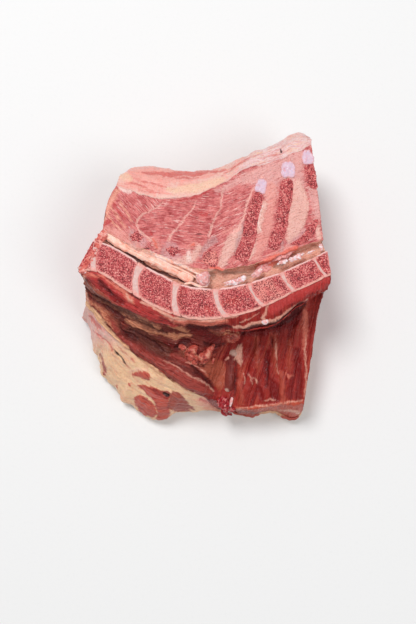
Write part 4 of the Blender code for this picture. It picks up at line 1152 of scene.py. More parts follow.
class Finish:
    """A material while it is painted: its nodes, and its colour so far."""

    def __init__(self, name, colours):
        self.material = bpy.data.materials.new(name)
        self.material.use_nodes = True
        self.tree = self.material.node_tree
        self.tree.nodes.clear()
        self.colours = colours
        self.place = self.node("ShaderNodeTexCoord", "Object")
        self.colour = None

    def node(self, kind, out=0, sockets=None, **settings):
        """Adds a node, sets its properties, and fills its sockets with values, with links or,
        from a name, with an attribute of the mesh. Gives one of its outputs, if it has any."""
        made = self.tree.nodes.new(kind)
        for key, value in settings.items():
            setattr(made, key, value)
        for key, value in (sockets or {}).items():
            if isinstance(value, str):
                field = "Vector" if made.inputs[key].type == "VECTOR" else "Fac"
                value = self.node("ShaderNodeAttribute", field, attribute_name=value)
            if isinstance(value, bpy.types.NodeSocket):
                self.tree.links.new(value, made.inputs[key])
            else:
                made.inputs[key].default_value = value
        return made.outputs[out] if len(made.outputs) else None

    def mottle(self, size, detail=4.0, place=None):
        """Noise from about -0.5 to 0.5, with features of this size in mm."""
        value = self.node("ShaderNodeTexNoise", sockets={
            "Vector": place or self.place, "Scale": 1 / (size * MM), "Detail": detail,
            "Roughness": 0.55})
        return self.node("ShaderNodeMath", operation="SUBTRACT", sockets={0: value, 1: 0.5})

    def drawn_out(self, length, width, seed, detail=2.0):
        """Noise drawn out along the grain, its features this long and this wide in mm."""
        scaled = self.node("ShaderNodeMapping", sockets={
            "Vector": "grain", "Location": (seed, seed, 0.0),
            "Scale": (1 / length, 1 / width, 0.15)})
        return self.mottle(1 / MM, detail, scaled)

    def total(self, value, *more):
        """The value, and each of the others times its weight."""
        for other, weight in more:
            value = self.node("ShaderNodeMath", operation="MULTIPLY_ADD",
                              sockets={0: other, 1: weight, 2: value})
        return value

    def coat(self, colour, value, low, high, most=1.0, blend="MIX"):
        """Lays a colour over what is there: none of it where the value is at low, and the most
        at high, smooth between. MULTIPLY stains instead. The first coat goes on bare ground."""
        if isinstance(colour, str):
            colour = getattr(self.colours, colour)
        share = self.node("ShaderNodeMapRange", interpolation_type="SMOOTHSTEP", sockets={
            "Value": value, "From Min": low, "From Max": high, "To Max": most})
        self.colour = self.node("ShaderNodeMix", 2, data_type="RGBA", blend_type=blend,
                                sockets={0: share, 6: self.colour, 7: colour})

    def keep(self, before, value, low, high):
        """Takes the coats since before off again where the value is at low."""
        self.colour, top = before, self.colour
        self.coat(top, value, low, high)

    def coats(self, ragged, **layers):
        """Lays one colour after another where the point is inside a mark. The attribute gives
        the depth inside the mark in mm, and the noise makes its edge ragged. For its mark, a
        layer gives the softness of the edge in mm, the strength, the raggedness in mm, and the
        colour's name where it isn't the mark's."""
        for mark, (soft, strength, reach, *colour) in layers.items():
            self.coat(*(colour or [mark]), self.total(mark, (ragged, reach)), -soft, soft, strength)

    def damp(self, film, height, rise, glow, specular=0.5):
        """Wet raw surface: light goes a little way in, and the film of water on it is glossy.
        film is a roughness, or a noise with the roughness where it is low and where it is high."""
        if isinstance(film, tuple):
            film = self.node("ShaderNodeMapRange", sockets={
                "Value": film[0], "From Min": -0.2, "From Max": 0.2, "To Min": film[1],
                "To Max": film[2]})
        bump = self.node("ShaderNodeBump", sockets={"Strength": 1.0, "Distance": rise * MM,
                                                    "Height": height})
        shader = self.node("ShaderNodeBsdfPrincipled", sockets={
            "Base Color": self.colour, "Roughness": film, "Normal": bump, "IOR": 1.38,
            "Specular IOR Level": specular, "Subsurface Weight": glow,
            "Subsurface Radius": (1.0, 0.35, 0.2), "Subsurface Scale": 1.2 * MM})
        self.node("ShaderNodeOutputMaterial", sockets={"Surface": shader})


def finish(make, colours, *details, name=None):
    """The material that this function paints, made on first use."""
    name = name or make.__name__
    if name not in bpy.data.materials:
        make(Finish(name, colours), bpy.context.scene.lamb_sizes, *details)
    return bpy.data.materials[name]


def cut_across(paint, height):
    """Colour of the end cuts: muscles about 30 mm across with lines of fat between them, in
    bundles of fibres drawn 4 mm wide, as coarse as they need to be to show. Gives the height,
    of which hardly any is left there."""
    bend = paint.node("ShaderNodeTexNoise", "Color", {
        "Vector": paint.place, "Scale": 1 / (14 * MM), "Detail": 4.0})
    bent = paint.node("ShaderNodeVectorMath", operation="MULTIPLY_ADD", sockets={
        0: bend, 1: (16 * MM, 16 * MM, 16 * MM), 2: paint.place})
    muscles, bundles = (paint.node("ShaderNodeTexVoronoi", "Distance", {
        "Vector": bent, "Scale": 1 / (size * MM)}, feature="DISTANCE_TO_EDGE")
        for size in (30, 4))
    cloud = paint.mottle(12)
    before, paint.colour = paint.colour, paint.colours.muscle
    paint.coat("muscle_deep", cloud, -0.15, 0.12)
    paint.coat("muscle", bundles, 0.16, 0.0, 0.5)
    paint.coat("fleck", cloud, 0.14, 0.3, 0.5)
    paint.coat("seam", paint.total(muscles, (cloud, 0.06)), 0.045, 0.0, 0.9)
    paint.keep(before, "cut", 0.0, 1.0)
    flat = paint.node("ShaderNodeMapRange", sockets={"Value": "cut", "To Min": 1.0,
                                                     "To Max": 0.1})
    return paint.node("ShaderNodeMath", operation="MULTIPLY", sockets={0: height, 1: flat})


def sawn_muscle(paint, sizes):
    """Raw lamb muscle cut by a saw: pink and damp, with dark and pale threads along its fibres.
    The threads are drawn 0.9 mm wide, as coarse as they need to be to show."""
    fleck, fibre = sizes.fleck / MM, sizes.fibre / MM
    pale = paint.drawn_out(fleck, fibre, 0.0)
    deep = paint.drawn_out(fleck * 0.7, fibre * 0.8, 31.0)
    grit = paint.mottle(sizes.grit / MM, 2.0)
    cloud = paint.mottle(8)
    ragged = paint.total(paint.mottle(2.4), (pale, 0.8))
    paint.colour = paint.colours.muscle
    paint.coat("muscle_deep", cloud, -0.08, 0.14, 0.7)
    paint.coat("threads_deep", deep, -0.02, 0.14, 0.8, "MULTIPLY")
    # Pale threads of fat, and painted highlight: they stand in for the glints along the fibres.
    paint.coat("fleck", pale, 0.08, 0.18, 0.75)
    paint.coats(ragged, mottled=(2.5, 0.72, 7.0), spongy=(2.0, 0.75, 4.0), floor=(0.6, 0.95, 1.5),
                side_fat=(1.6, 0.8, 4.0), salmon=(2.0, 0.75, 4.0), cream=(1.6, 0.85, 4.0),
                gristle=(1.6, 0.6, 3.0), seam=(0.7, 0.9, 1.6), white=(0.9, 0.8, 3.0))
    paint.coat("threads_deep", deep, 0.02, 0.2, 0.25, "MULTIPLY")
    before = paint.colour
    paint.coat("pore", grit, 0.0, 0.2, 0.5)
    paint.keep(before, "spongy", -2.0, 2.5)
    # The dark marks include the painted shade of the gap beside the cord.
    paint.coats(ragged, tissue=(1.0, 0.85, 3.5), pit=(1.2, 0.75, 1.5), red=(1.0, 0.75, 3.5),
                dark=(0.5, 0.92, 1.0))
    height = cut_across(paint, paint.total(pale, (deep, -0.8), (grit, 0.8)))
    paint.coat("grit", grit, 0.0, -0.2, 1.0, "MULTIPLY")
    paint.damp((pale, 0.45, 0.2), height, 0.6, 0.08)


def torn_muscle(paint, sizes):
    """Raw muscle pulled apart and lined with thin membrane: dark, dried on the neck and wet
    in the chest, with streaks of fat that follow it."""
    fleck, fibre = sizes.fleck / MM, sizes.fibre / MM
    pale = paint.drawn_out(fleck * 1.6, fibre * 1.5, 7.0, 3.0)
    deep = paint.drawn_out(fleck * 1.2, fibre * 1.2, 41.0, 3.0)
    broad = paint.drawn_out(60.0, 5.0, 77.0, 3.0)
    grit = paint.mottle(sizes.grit / MM, 2.0)
    cloud = paint.mottle(7)
    ragged = paint.total(paint.mottle(3.0), (pale, 1.0))
    paint.colour = paint.colours.neck
    paint.coat("chest", "chest", 0.0, 1.0)
    paint.coat("blood", broad, 0.0, 0.14, 0.75)
    paint.coat("pale", broad, -0.06, -0.18, 0.6)
    paint.coats(ragged, brown=(1.5, 0.8, 4.0), hollow=(1.5, 0.85, 3.0), strip=(1.2, 0.92, 2.0),
                # The pale marks lay ribs under the lining and one painted highlight.
                pleura=(1.5, 0.85, 3.0), pale=(2.0, 0.65, 5.0), tan=(1.0, 0.85, 3.0),
                # The deep red marks lay the muscle's own dark red and the painted shadow under the lip.
                hem=(1.5, 0.85, 2.5), lip_red=(1.0, 0.95, 2.0, "lip"), blood=(1.8, 0.75, 4.0),
                orange=(1.0, 0.75, 3.5))
    before = paint.colour
    paint.coat("streak", deep, 0.01, 0.15, 0.8, "MULTIPLY")
    paint.coat("shine", pale, 0.08, 0.26, 0.38)
    # The streaks are whole on the neck, and half of them is kept in the chest.
    paint.keep(before, "chest", 2.0, 0.0)
    # The dark marks include painted shade under the lip and in a crack of the chest.
    paint.coats(ragged, edge_fat=(0.8, 0.95, 2.5), cream=(0.8, 0.85, 1.8, "lip_fat"),
                dark=(1.5, 0.8, 3.5))
    height = cut_across(paint, paint.total(pale, (deep, -1.0), (cloud, 0.8)))
    paint.coat("grit", grit, 0.0, -0.2, 1.0, "MULTIPLY")
    paint.damp((cloud, 0.16, 0.42), height, 0.8, 0.04, 0.32)


def lamb_fat(paint, sizes):
    """Firm raw lamb fat under its thin skin: cream with pink stains, streaked along the body,
    in soft folds and with a dull gloss."""
    streak = paint.drawn_out(22.0, 1.6, 3.0, 4.0)
    fine = paint.drawn_out(8.0, 0.9, 19.0, 3.0)
    grit = paint.mottle(sizes.grit / MM, 2.0)
    cloud = paint.mottle(9)
    ragged = paint.total(paint.mottle(2.6), (streak, 0.8))
    paint.colour = paint.colours.band_pink
    paint.coat("flap_pink", "flap", 0.0, 1.0)
    pink, paint.colour = paint.colour, paint.colours.band
    paint.coat("flap", "flap", 0.0, 1.0)
    paint.coat(pink, cloud, -0.02, 0.2, 0.75)
    paint.coat(pink, streak, 0.03, 0.17, 0.9)
    paint.coat("cream", streak, -0.05, -0.2, 0.6)
    paint.coats(ragged, marbled=(2.5, 0.85, 5.0), stained=(2.5, 0.6, 6.0, "band_pink"),
                cream=(1.4, 0.8, 3.0), reddish=(0.8, 0.8, 2.5), meat=(0.8, 0.92, 4.0),
                # The darker meat marks include painted shade over a hole.
                dark_meat=(0.8, 0.92, 4.0))
    before = paint.colour
    paint.coat("vein", fine, 0.02, 0.14, 0.7)
    paint.coat("vein", streak, 0.02, 0.14, 0.6)
    paint.coat("cream", streak, -0.04, -0.16, 0.8)
    paint.keep(before, "marbled", -3.0, 3.0)
    before = paint.colour
    paint.coat("threads", fine, 0.0, 0.15, 0.8, "MULTIPLY")
    paint.coat("vein", streak, -0.02, -0.16, 0.6)
    meat = paint.node("ShaderNodeMath", operation="MAXIMUM", sockets={0: "meat", 1: "dark_meat"})
    paint.keep(before, meat, -0.5, 1.0)
    # Painted shade in the cuts and the hole.
    paint.coats(ragged, slit=(0.4, 0.95, 0.8))
    paint.coat("grit", grit, 0.02, -0.22, 1.0, "MULTIPLY")
    folds = paint.mottle(sizes.wrinkle / MM, 5.0)
    paint.damp((ragged, 0.3, 0.5), paint.total(folds, (streak, 0.8), (grit, 0.35)), 0.8, 0.14)


def sawn_bone(paint, sizes):
    """Spongy bone full of red marrow, cut by a saw: dark pores between pale grains of bone,
    paler towards the edge. The pores are drawn a millimetre apart, so that they show."""
    ragged = paint.mottle(2.2)
    cloud = paint.mottle(6)
    grains = paint.mottle(sizes.pore / MM, 2.0)
    rim = paint.total("rim", (ragged, 3.0))
    paint.colour = paint.colours.marrow_light
    paint.coat("marrow", rim, 0.4, 3.2)
    paint.coat("marrow_light", cloud, 0.02, 0.18, 0.6)
    paint.coats(ragged, orange=(2.0, 0.8, 4.0, "orange_marrow"), wet=(1.5, 0.8, 4.0, "wet_marrow"))
    before = paint.colour
    paint.coat("pore", paint.total(grains, (cloud, 0.35)), 0.03, -0.13, 0.95)
    paint.keep(before, rim, 0.4, 2.0)
    paint.coat("grain", grains, 0.04, 0.17, 0.85)
    paint.coat("rim", paint.total("back", (ragged, 1.4)), 2.0, 0.6, 0.9)
    paint.coat("rim_cream", paint.total("front", (ragged, 3.0)), 3.0, 0.8, 0.85)
    paint.damp((cloud, 0.25, 0.5), paint.total(grains, (ragged, 0.5)), 0.8, 0.05)


def disc_gristle(paint, sizes):
    """Disc of tough fibre between two vertebrae: greyish white, pink where it meets the bone."""
    ragged = paint.mottle(2.0)
    cloud = paint.mottle(4, 3.0)
    paint.colour = paint.colours.disc
    paint.coat("disc_light", paint.total("rim", (ragged, 1.6)), 0.2, 0.9)
    paint.coat("disc", cloud, 0.02, 0.16, 0.7)
    ends = paint.node("ShaderNodeMath", operation="MINIMUM", sockets={0: "front", 1: "back"})
    paint.coat("disc_end", paint.total(ends, (ragged, 4.0)), 5.0, 1.0, 0.8)
    paint.damp((cloud, 0.2, 0.45), ragged, 0.5, 0.12)


def raw_cartilage(paint, sizes):
    """Young cartilage: smooth and milky lilac, pink towards the bone."""
    cloud = paint.mottle(3)
    paint.colour = paint.colours.cartilage
    paint.coat("cartilage_pink", cloud, 0.04, 0.2)
    paint.coat("cartilage_edge", paint.total("rim", (cloud, 3.0)), 1.8, 0.2)
    paint.damp(0.3, cloud, 0.3, 0.15)


def lined_rib(paint, sizes):
    """End of the first rib under the thin lining of the chest: grey-brown, with small red
    vessels along it and bare gristle showing pale."""
    cloud = paint.mottle(5)
    veins = paint.mottle(1.4, 3.0, paint.node("ShaderNodeMapping", sockets={
        "Vector": paint.place, "Scale": (1.0, 0.15, 0.6)}))
    paint.colour = paint.colours.lining
    paint.coat("lining_red", cloud, -0.04, 0.14)
    paint.coat("vessel", veins, 0.06, 0.16, 0.8)
    paint.coats(cloud, bare=(1.0, 0.85, 3.0, "bare_gristle"))
    paint.damp((cloud, 0.18, 0.4), veins, 0.5, 0.05, 0.3)


def nerve_cord(paint, sizes):
    """Spinal cord in its fatty sheath: cream to orange, soft and glossy, with white strands."""
    strand = paint.drawn_out(20.0, 1.5, 5.0, 4.0)
    cloud = paint.mottle(4)
    paint.colour = paint.colours.cord
    paint.coat("cord_orange", cloud, -0.06, 0.14)
    paint.coat("cord_white", strand, 0.03, 0.16, 0.9)
    # Painted shade in the grooves between the strands.
    paint.coat("cord_groove_shade", strand, -0.1, -0.26, 0.25)
    paint.damp((cloud, 0.16, 0.4), paint.total(strand, (cloud, 0.6)), 0.8, 0.12)


def soft_lump(paint, sizes):
    """Glands and lumps of fat: brownish pink, with pale patches, dark creases and a wet skin."""
    cloud = paint.mottle(4.5)
    fine = paint.mottle(1.8, 3.0)
    paint.colour = paint.colours.lump
    paint.coat("lump_pale", cloud, 0.0, 0.15)
    # Painted shade in the creases, where the cloud noise and with it the relief is low.
    paint.coat("lump_dark", cloud, -0.04, -0.16, 0.9)
    paint.coat("lump_dark", fine, 0.08, 0.2, 0.6)
    paint.damp((fine, 0.14, 0.4), paint.total(cloud, (fine, 0.6)), 1.2, 0.06)


def shredded_tissue(paint, sizes, low, high):
    """Shreds of membrane left by the saw: whitish and wet, with pink where this noise, taken
    from low to high, lets the flesh under them show."""
    cloud = paint.mottle(2.4)
    paint.colour = paint.colours.shred
    paint.coat("shred_pink", cloud, low, high)
    paint.damp((cloud, 0.15, 0.4), cloud, 1.0, 0.12)


def raw_crumbs(paint, sizes):
    """Crumbs of marrow and flesh torn at the end of the spine: bright red and wet, with pale
    specks of bone."""
    cloud = paint.mottle(5)
    fine = paint.mottle(1.6, 3.0)
    paint.colour = paint.colours.crumb
    paint.coat("crumb_pale", cloud, -0.05, 0.12)
    paint.coat("clot", fine, 0.0, 0.14, 0.8)
    paint.coat("shred", fine, -0.12, -0.22, 0.8)
    paint.damp((fine, 0.14, 0.4), paint.total(fine, (cloud, 1.0)), 1.4, 0.05)


def clotted_blood(paint, sizes):
    """Clot in the end of a cut vessel: crimson and wet, with pink shreds twisted through it."""
    cloud = paint.mottle(3.5)
    fine = paint.mottle(1.6, 3.0)
    paint.colour = paint.colours.clot
    paint.coat("clot_pink", cloud, 0.03, 0.14)
    paint.coat("clot_dark", fine, 0.02, 0.14, 0.8)
    paint.damp(0.16, paint.total(cloud, (fine, 0.8)), 1.5, 0.05)


def paper_floor(paint, sizes):
    """Matt white paper, lit evenly: it gives a pale ground with a soft shadow."""
    paint.colour = linear("E6E6E6")
    paint.coat(linear("E3E3E3"), paint.mottle(3, 3.0), 0.0, 0.4)
    shader = paint.node("ShaderNodeBsdfPrincipled", sockets={
        "Base Color": paint.colour, "Roughness": 0.9, "Specular IOR Level": 0.1})
    paint.node("ShaderNodeOutputMaterial", sockets={"Surface": shader})


# ---------------------------------------------------------------- operators

def rows_and_seam(context):
    """The rows at every section, and the surface between lean and fat."""
    rows = Rows(np.linspace(0, 1, context.scene.lamb_sizes.sections))
    return rows, interface(rows)


def marked_skin(context, make, tables):
    """The rows, the skin that this function makes over them, and the marks on it."""
    rows, seam = rows_and_seam(context)
    skin = make(rows, seam)
    return rows, skin, drawn(skin.points, skin.normals(), tables)


def seen_place(skin, x, y):
    """Point over this place of the sheet, as high as the highest of the skin's points near it."""
    away = np.linalg.norm(sheet(skin.points) - (x, y), axis=-1)
    near = away < max(1.0, away.min() + 0.5)
    return under_eye(x, y, skin.points[near][:, 2].max())


class LAMB_OT_sawn_meat(bpy.types.Operator):
    """Meat behind the bone, with its flat sawn face and the floor of the canal"""

    bl_idname = "lamb.sawn_meat"
    bl_label = "Sawn meat"

    def execute(self, context):
        _, skin, marks = marked_skin(context, sawn_meat_skin, FACE_MARKS)
        grain = muscle_grain(skin.points)
        height = (relief_of(marks) + layered(skin.points, SAWN_LAYERS)
                  + threads(grain, SAWN_THREADS))
        floor = column_share(skin, SAWN_STEPS, (1, 3))[None, :]
        height += floor * FLOOR_RELIEF * rough(skin.points, 6, 19, 2)
        bed = smooth_step(0.0, 1.0, bed_depth(skin.points))
        height = height * (1 - bed) - BED_SINK * bed
        # The floor is a mark too, 1.2 mm deep inside and as far from it outside.
        marks["floor"] = floor * 2.4 * (skin.ring < 0.01) - 1.2
        marks["cut"] = skin.end_cut()
        skin.push(height * edge_fade(skin) * (1 - marks["cut"]))
        add_piece("sawn_meat", skin.points, skin.faces, {**marks, "grain": grain},
                  finish(sawn_muscle, context.scene.lamb_meat), "lean")
        return {"FINISHED"}


class LAMB_OT_front_meat(bpy.types.Operator):
    """Lip along the vertebrae, neck muscle and chest wall"""

    bl_idname = "lamb.front_meat"
    bl_label = "Neck and chest wall"

    def execute(self, context):
        rows, skin, marks = marked_skin(context, front_meat_skin, WALL_MARKS)
        grain = flow(skin, rows, 83)
        chest = skin.over_ends(rows.chest[:, None])
        turned = np.where(chest[..., None] > 0.5, grain[..., [1, 0, 2]], grain)
        height = (relief_of(marks) + layered(skin.points, FRONT_LAYERS)
                  + threads(turned, FRONT_THREADS))
        at_bone = sum(FRONT_STEPS[:4])
        fade = edge_fade(skin) * smooth_step(at_bone, at_bone + FADE_COLUMNS,
                                             np.arange(height.shape[1]))
        marks["cut"] = skin.end_cut()
        skin.push(height * fade * (1 - marks["cut"]))
        add_piece("front_meat", skin.points, skin.faces,
                  {**marks, "grain": turned, "chest": chest},
                  finish(torn_muscle, context.scene.lamb_meat), "lean")
        return {"FINISHED"}


class LAMB_OT_fat(bpy.types.Operator):
    """Fat along the back, under the shoulder and on the flap"""

    bl_idname = "lamb.fat"
    bl_label = "Fat cover"

    def execute(self, context):
        rows, skin, marks = marked_skin(context, fat_skin, FAT_MARKS)
        off_ground = smooth_step(2.0, 9.0, skin.points[..., 2])
        grain = flow(skin, rows, 85)
        height = relief_of(marks) + off_ground * (layered(skin.points, FAT_LAYERS)
                                                  + threads(grain, FAT_THREADS))
        skin.push(height * edge_fade(skin) * (1 - skin.end_cut()))
        skin.points[..., 2] = np.maximum(skin.points[..., 2], 0.0)
        marks["flap"] = smooth_step(-40, -70, skin.points[..., 1])
        add_piece("fat_layer", skin.points, skin.faces, {**marks, "grain": grain},
                  finish(lamb_fat, context.scene.lamb_fat), "fat_cover")
        return {"FINISHED"}


UPWARD = np.array([0.0, 0.0, 1.0])


def sawn_block(name, place, squareness, depth, seed, waver, edges, pale, material, slot):
    """Finishes a block: its sawn top is rough and sinks at the outline. edges gives the
    distance in mm to the back and front edges of the band, from w, and pale is by how much the
    pale edge of the marrow is left out."""
    grid, rim, w = block(place, squareness, depth, seed, waver)
    top = slice(0, BLOCK_RINGS)
    grid[top, :, 2] += (TOP_ROUGHNESS * rough(grid[top], 1.8, seed + 20)
                        - TOP_SINK * smooth_step(0.8, 0, rim[top]) + TOP_LIFT)
    marks = drawn(grid, np.broadcast_to(UPWARD, grid.shape), BONE_MARKS)
    back, front = edges(w)
    closed_grid(f"sawn_{name}", grid, {"rim": rim + pale, "back": back, "front": front, **marks},
                material, name)


class LAMB_OT_spine(bpy.types.Operator):
    """Eight split vertebral bodies and the discs between them"""

    bl_idname = "lamb.spine"
    bl_label = "Vertebrae and discs"

    def execute(self, context):
        colours = context.scene.lamb_bone
        # Name, growth over the band's edges, reach under its neighbours, squareness and finish.
        kinds = (("vertebra", 0.3, 0.1, 11.0, finish(sawn_bone, colours), "bone"),
                 ("disc", 0.0, OVERLAP, 30.0, finish(disc_gristle, colours), "disc"))
        lines = spine_lines()
        for k, (first, last) in enumerate(zip(lines, lines[1:])):
            name, grow, widen, squareness, *look = kinds[k % 2]
            sawn_block(f"{name}_{k // 2 + 1}", in_band(first, last, grow, widen), squareness,
                       BODY_DEPTH, 40 + k, 0.35,
                       lambda w: ((1 + w) / 2 * BAND_WIDTH, (1 - w) / 2 * BAND_WIDTH), 0.0, *look)
        return {"FINISHED"}


class LAMB_OT_processes(bpy.types.Operator):
    """Sawn spinous processes and arches, with the cartilage on their tips"""

    bl_idname = "lamb.processes"
    bl_label = "Processes and cartilage"

    def execute(self, context):
        bone = finish(sawn_bone, context.scene.lamb_bone)
        cartilage = finish(raw_cartilage, context.scene.lamb_bone)
        # Lift, squareness, depth, waver of the outline, pale edge left out, and finish.
        kinds = {"process": (0.15, 5.0, PROCESS_DEPTH, 1.3, 2.0, bone, "bone"),
                 "arch": (0.3, 5.0, PROCESS_DEPTH, 3.4, 2.0, bone, "bone"),
                 "cartilage": (0.15, 3.2, CARTILAGE_DEPTH, 1.3, 0.0, cartilage, "cartilage")}
        for k, (name, (centre, widths)) in enumerate({**PROCESSES, **CARTILAGES}.items()):
            lift, squareness, depth, waver, pale, *look = kinds[name.split("_")[0]]
            sawn_block(name, along_line(centre, widths, lift), squareness, depth, 70 + k, waver,
                       lambda w: (FAR + 0 * w, FAR + 0 * w), pale, *look)
        return {"FINISHED"}


CORD_SHIFT = (0.7, 1.1)  # of the cord from the middle of its solid
CORD_LIFT = 4.4  # over the bed of the canal
CORD_RADII = (4.0, 3.2)  # across and upright
# Strands in the canal: places on the sheet, height over the bed of the canal and radius, mm.
STRANDS = {
    "nerve_strand_1": (((149, 250), (158, 255), (168, 260), (180, 265), (192, 271), (203, 276)),
                       6.6, 1.3),
    "nerve_strand_2": (((156, 258), (168, 264), (180, 269), (190, 274), (199, 279)), 6.8, 1.0),
    "nerve_strand_3": (((106, 233), (116, 240), (128, 247), (140, 253), (150, 258)), 6.4, 1.5),
    "nerve_strand_4": (((184, 284), (191, 283), (199, 286), (208, 286)), 7.0, 1.1),
}


class LAMB_OT_cord(bpy.types.Operator):
    """Spinal cord lying in the canal, and the nerve strands beside it"""

    bl_idname = "lamb.cord"
    bl_label = "Spinal cord"

    def execute(self, context):
        material = finish(nerve_cord, context.scene.lamb_bone)
        xy = through(CORD_ROUTE, np.linspace(0, 1, 200)) + CORD_SHIFT
        bars = {"spinal_nerve_cord": (at_height(xy, sawn_z(xy) - CANAL_DEPTH + CORD_LIFT),
                                      *CORD_RADII)}
        for name, (places, lift, radius) in STRANDS.items():
            route = under_eye(*through(places, np.linspace(0, 1, 120)).T, SAWN_HEIGHT)
            bars[name] = (at_height(route, sawn_z(route) - CANAL_DEPTH + lift), radius, radius)
        for k, (name, (route, side, up)) in enumerate(bars.items()):
            swell = 1 + 0.3 * rough(route * (1, 1, 0), 9.0, 100 + k)
            grid, along = tube(route, side * swell, up * swell, 48)
            turn = np.linspace(0, math.pi * 2 * side, grid.shape[1])[None, :]
            grain = np.stack(np.broadcast_arrays(along, turn, 0.0), axis=-1)
            bumps = 0.10 * rough(grid, 4.0, 101 + k) + 0.10 * noise(grain * (0.1, 1, 1), 2.2, 104)
            closed_grid(name, swelled(grid, bumps), {"grain": grain}, material, "spinal_cord")
        return {"FINISHED"}


# Loose bits: place on the sheet, height of the middle over what carries it, half sizes and
# turn, unevenness, what carries it and the finish.
SCRAPS = {
    "nerve_knob": (203.5, 279.5, 4.0, (6.0, 6.6, 4.2), 25, 0.20, "face", "knob"),
    "shred_1": (234, 282, 0.1, (9.5, 2.2, 1.3), 8, 0.45, "bone", "shred"),
    "shred_2": (240, 279, 0.2, (5.0, 2.0, 1.3), 24, 0.45, "bone", "shred"),
    "shred_3": (257, 273, 0.3, (5.4, 2.6, 1.6), 32, 0.4, "bone", "knob"),
    "shred_4": (282, 262.5, 0.2, (5.2, 1.8, 1.2), 18, 0.45, "bone", "shred"),
    "shred_5": (296, 257.5, 0.2, (6.0, 2.0, 1.3), 22, 0.45, "bone", "shred"),
    "shred_6": (311, 252, 0.1, (3.6, 1.1, 0.9), 26, 0.5, "bone", "shred"),
    "shred_7": (321, 247, 0.0, (1.3, 3.0, 1.2), 10, 0.5, "bone", "shred"),
    "canal_flesh_1": (264, 266.5, 0.0, (7.5, 4.2, 2.6), 38, 0.4, "face", "flesh"),
    "canal_flesh_2": (284, 255, 0.0, (10.0, 3.2, 2.2), 24, 0.4, "face", "flesh"),
    "fat_knob": (265, 322, 0.4, (3.2, 2.2, 1.8), 10, 0.12, "wall", "shred"),
    "torn_bit": (231, 402, 1.0, (1.3, 4.2, 1.3), -12, 0.30, "wall", "knob"),
    "lobe_1": (193, 350, 0.6, (4.6, 4.0, 3.6), 20, 0.22, "wall", "lump"),
    "lobe_2": (203, 356, 0.6, (4.8, 3.2, 3.2), 55, 0.22, "wall", "lump"),
    "lobe_3": (194, 361, 0.6, (4.2, 3.0, 2.8), -20, 0.25, "wall", "lump"),
    "lobe_4": (211, 349, 0.4, (4.0, 2.4, 2.6), 50, 0.25, "wall", "lump"),
    "lobe_5": (213, 361, 0.4, (1.6, 2.6, 1.8), 0, 0.20, "wall", "lump"),
    "lobe_6": (182, 347, 0.2, (4.0, 2.2, 2.0), -30, 0.40, "wall", "lump"),
    "clot_fold_1": (223, 402, 1.6, (3.0, 4.4, 2.6), 20, 0.35, "wall", "clot"),
    "clot_fold_2": (231, 408, 1.8, (4.4, 3.0, 2.6), 30, 0.35, "wall", "clot"),
    "clot_fold_3": (226, 413, 1.0, (5.0, 2.6, 2.4), -25, 0.35, "wall", "clot"),
}
RIB_RADII = (4.6, 4.3)  # across and upright
TORN_HEIGHT = 2.0  # of the torn end, up and down from its middle
# The torn end: places on the sheet, and half width in mm.
TORN_END = ((109, 228, 2.2), (104, 234, 3.4), (98, 243, 4.0), (93, 252, 4.2), (88, 261, 4.4),
            (84, 268, 3.8), (79, 273, 2.0))


class LAMB_OT_small_pieces(bpy.types.Operator):
    """First rib, lumps of fat and gland, clot, torn flesh and shreds"""

    bl_idname = "lamb.small_pieces"
    bl_label = "Rib, lumps and clot"

    def execute(self, context):
        colours = context.scene.lamb_bone

        def shreds(name, low, high):
            """Shredded tissue that is pink from low to high of its noise."""
            return finish(shredded_tissue, colours, low, high, name=name)

        finishes = {"shred": (shreds("white_shreds", -0.08, 0.12), "soft_tissue"),
                    "knob": (shreds("pink_shreds", -0.22, 0.06), "soft_tissue"),
                    "flesh": (shreds("canal_tissue", -0.4, -0.1), "lean_meat"),
                    "lump": (finish(soft_lump, colours), "soft_tissue"),
                    "clot": (finish(clotted_blood, colours), "clot")}
        route = through(RIB_ROUTE, np.linspace(0, 1, 110))
        grid, _ = tube(route, *np.full((110, 2), RIB_RADII).T, 52)
        grid = swelled(grid, 0.12 * rough(grid, 5.0, 111))
        bare = drawn(grid, np.broadcast_to(UPWARD, grid.shape), RIB_MARKS)
        closed_grid("first_rib_end", grid, bare, finish(lined_rib, colours), "first_rib")
        for k, (name, (centre, half_sizes, turn)) in enumerate(LUMPS.items()):
            self.lump(f"{name}_flesh", centre, half_sizes, turn, 0.22, 120 + k, name,
                      *finishes["clot" if name == "clot" else "lump"])
        rows, seam = rows_and_seam(context)
        skins = {"face": sawn_meat_skin(rows, seam), "wall": front_meat_skin(rows, seam)}
        for k, (name, scrap) in enumerate(SCRAPS.items()):
            x, y, lift, half_sizes, turn, unevenness, carrier, look = scrap
            if carrier == "bone":
                centre = under_eye(x, y, sawn_z(under_eye(x, y, SAWN_HEIGHT)))
            else:
                centre = seen_place(skins[carrier], x, y)
            self.lump(name, centre + UPWARD * lift, half_sizes, turn, unevenness, 140 + k,
                      "lean", *finishes[look])
        x, y, side = through(TORN_END, np.linspace(0, 1, 130)).T
        route = under_eye(x, y, SAWN_HEIGHT)
        grid, _ = tube(at_height(route, sawn_z(route) - 1.4), side, np.full(130, TORN_HEIGHT), 90)
        grid = swelled(grid, layered(grid, ((0.14, 5.0, 131), (0.3, 2.4, 132))))
        closed_grid("torn_end", grid, {}, finish(raw_crumbs, colours), "lean")
        return {"FINISHED"}

    @staticmethod
    def lump(name, centre, half_sizes, turn, unevenness, seed, replaced, material, slot):
        """Uneven ball: each point is moved out by noise, as a share of its distance."""
        grid = ball(centre, half_sizes, turn)
        bumps = rough(grid, 3.6 if unevenness < 0.4 else 2.0, seed) * unevenness
        closed_grid(name, swelled(grid, bumps, centre), {}, material, replaced)


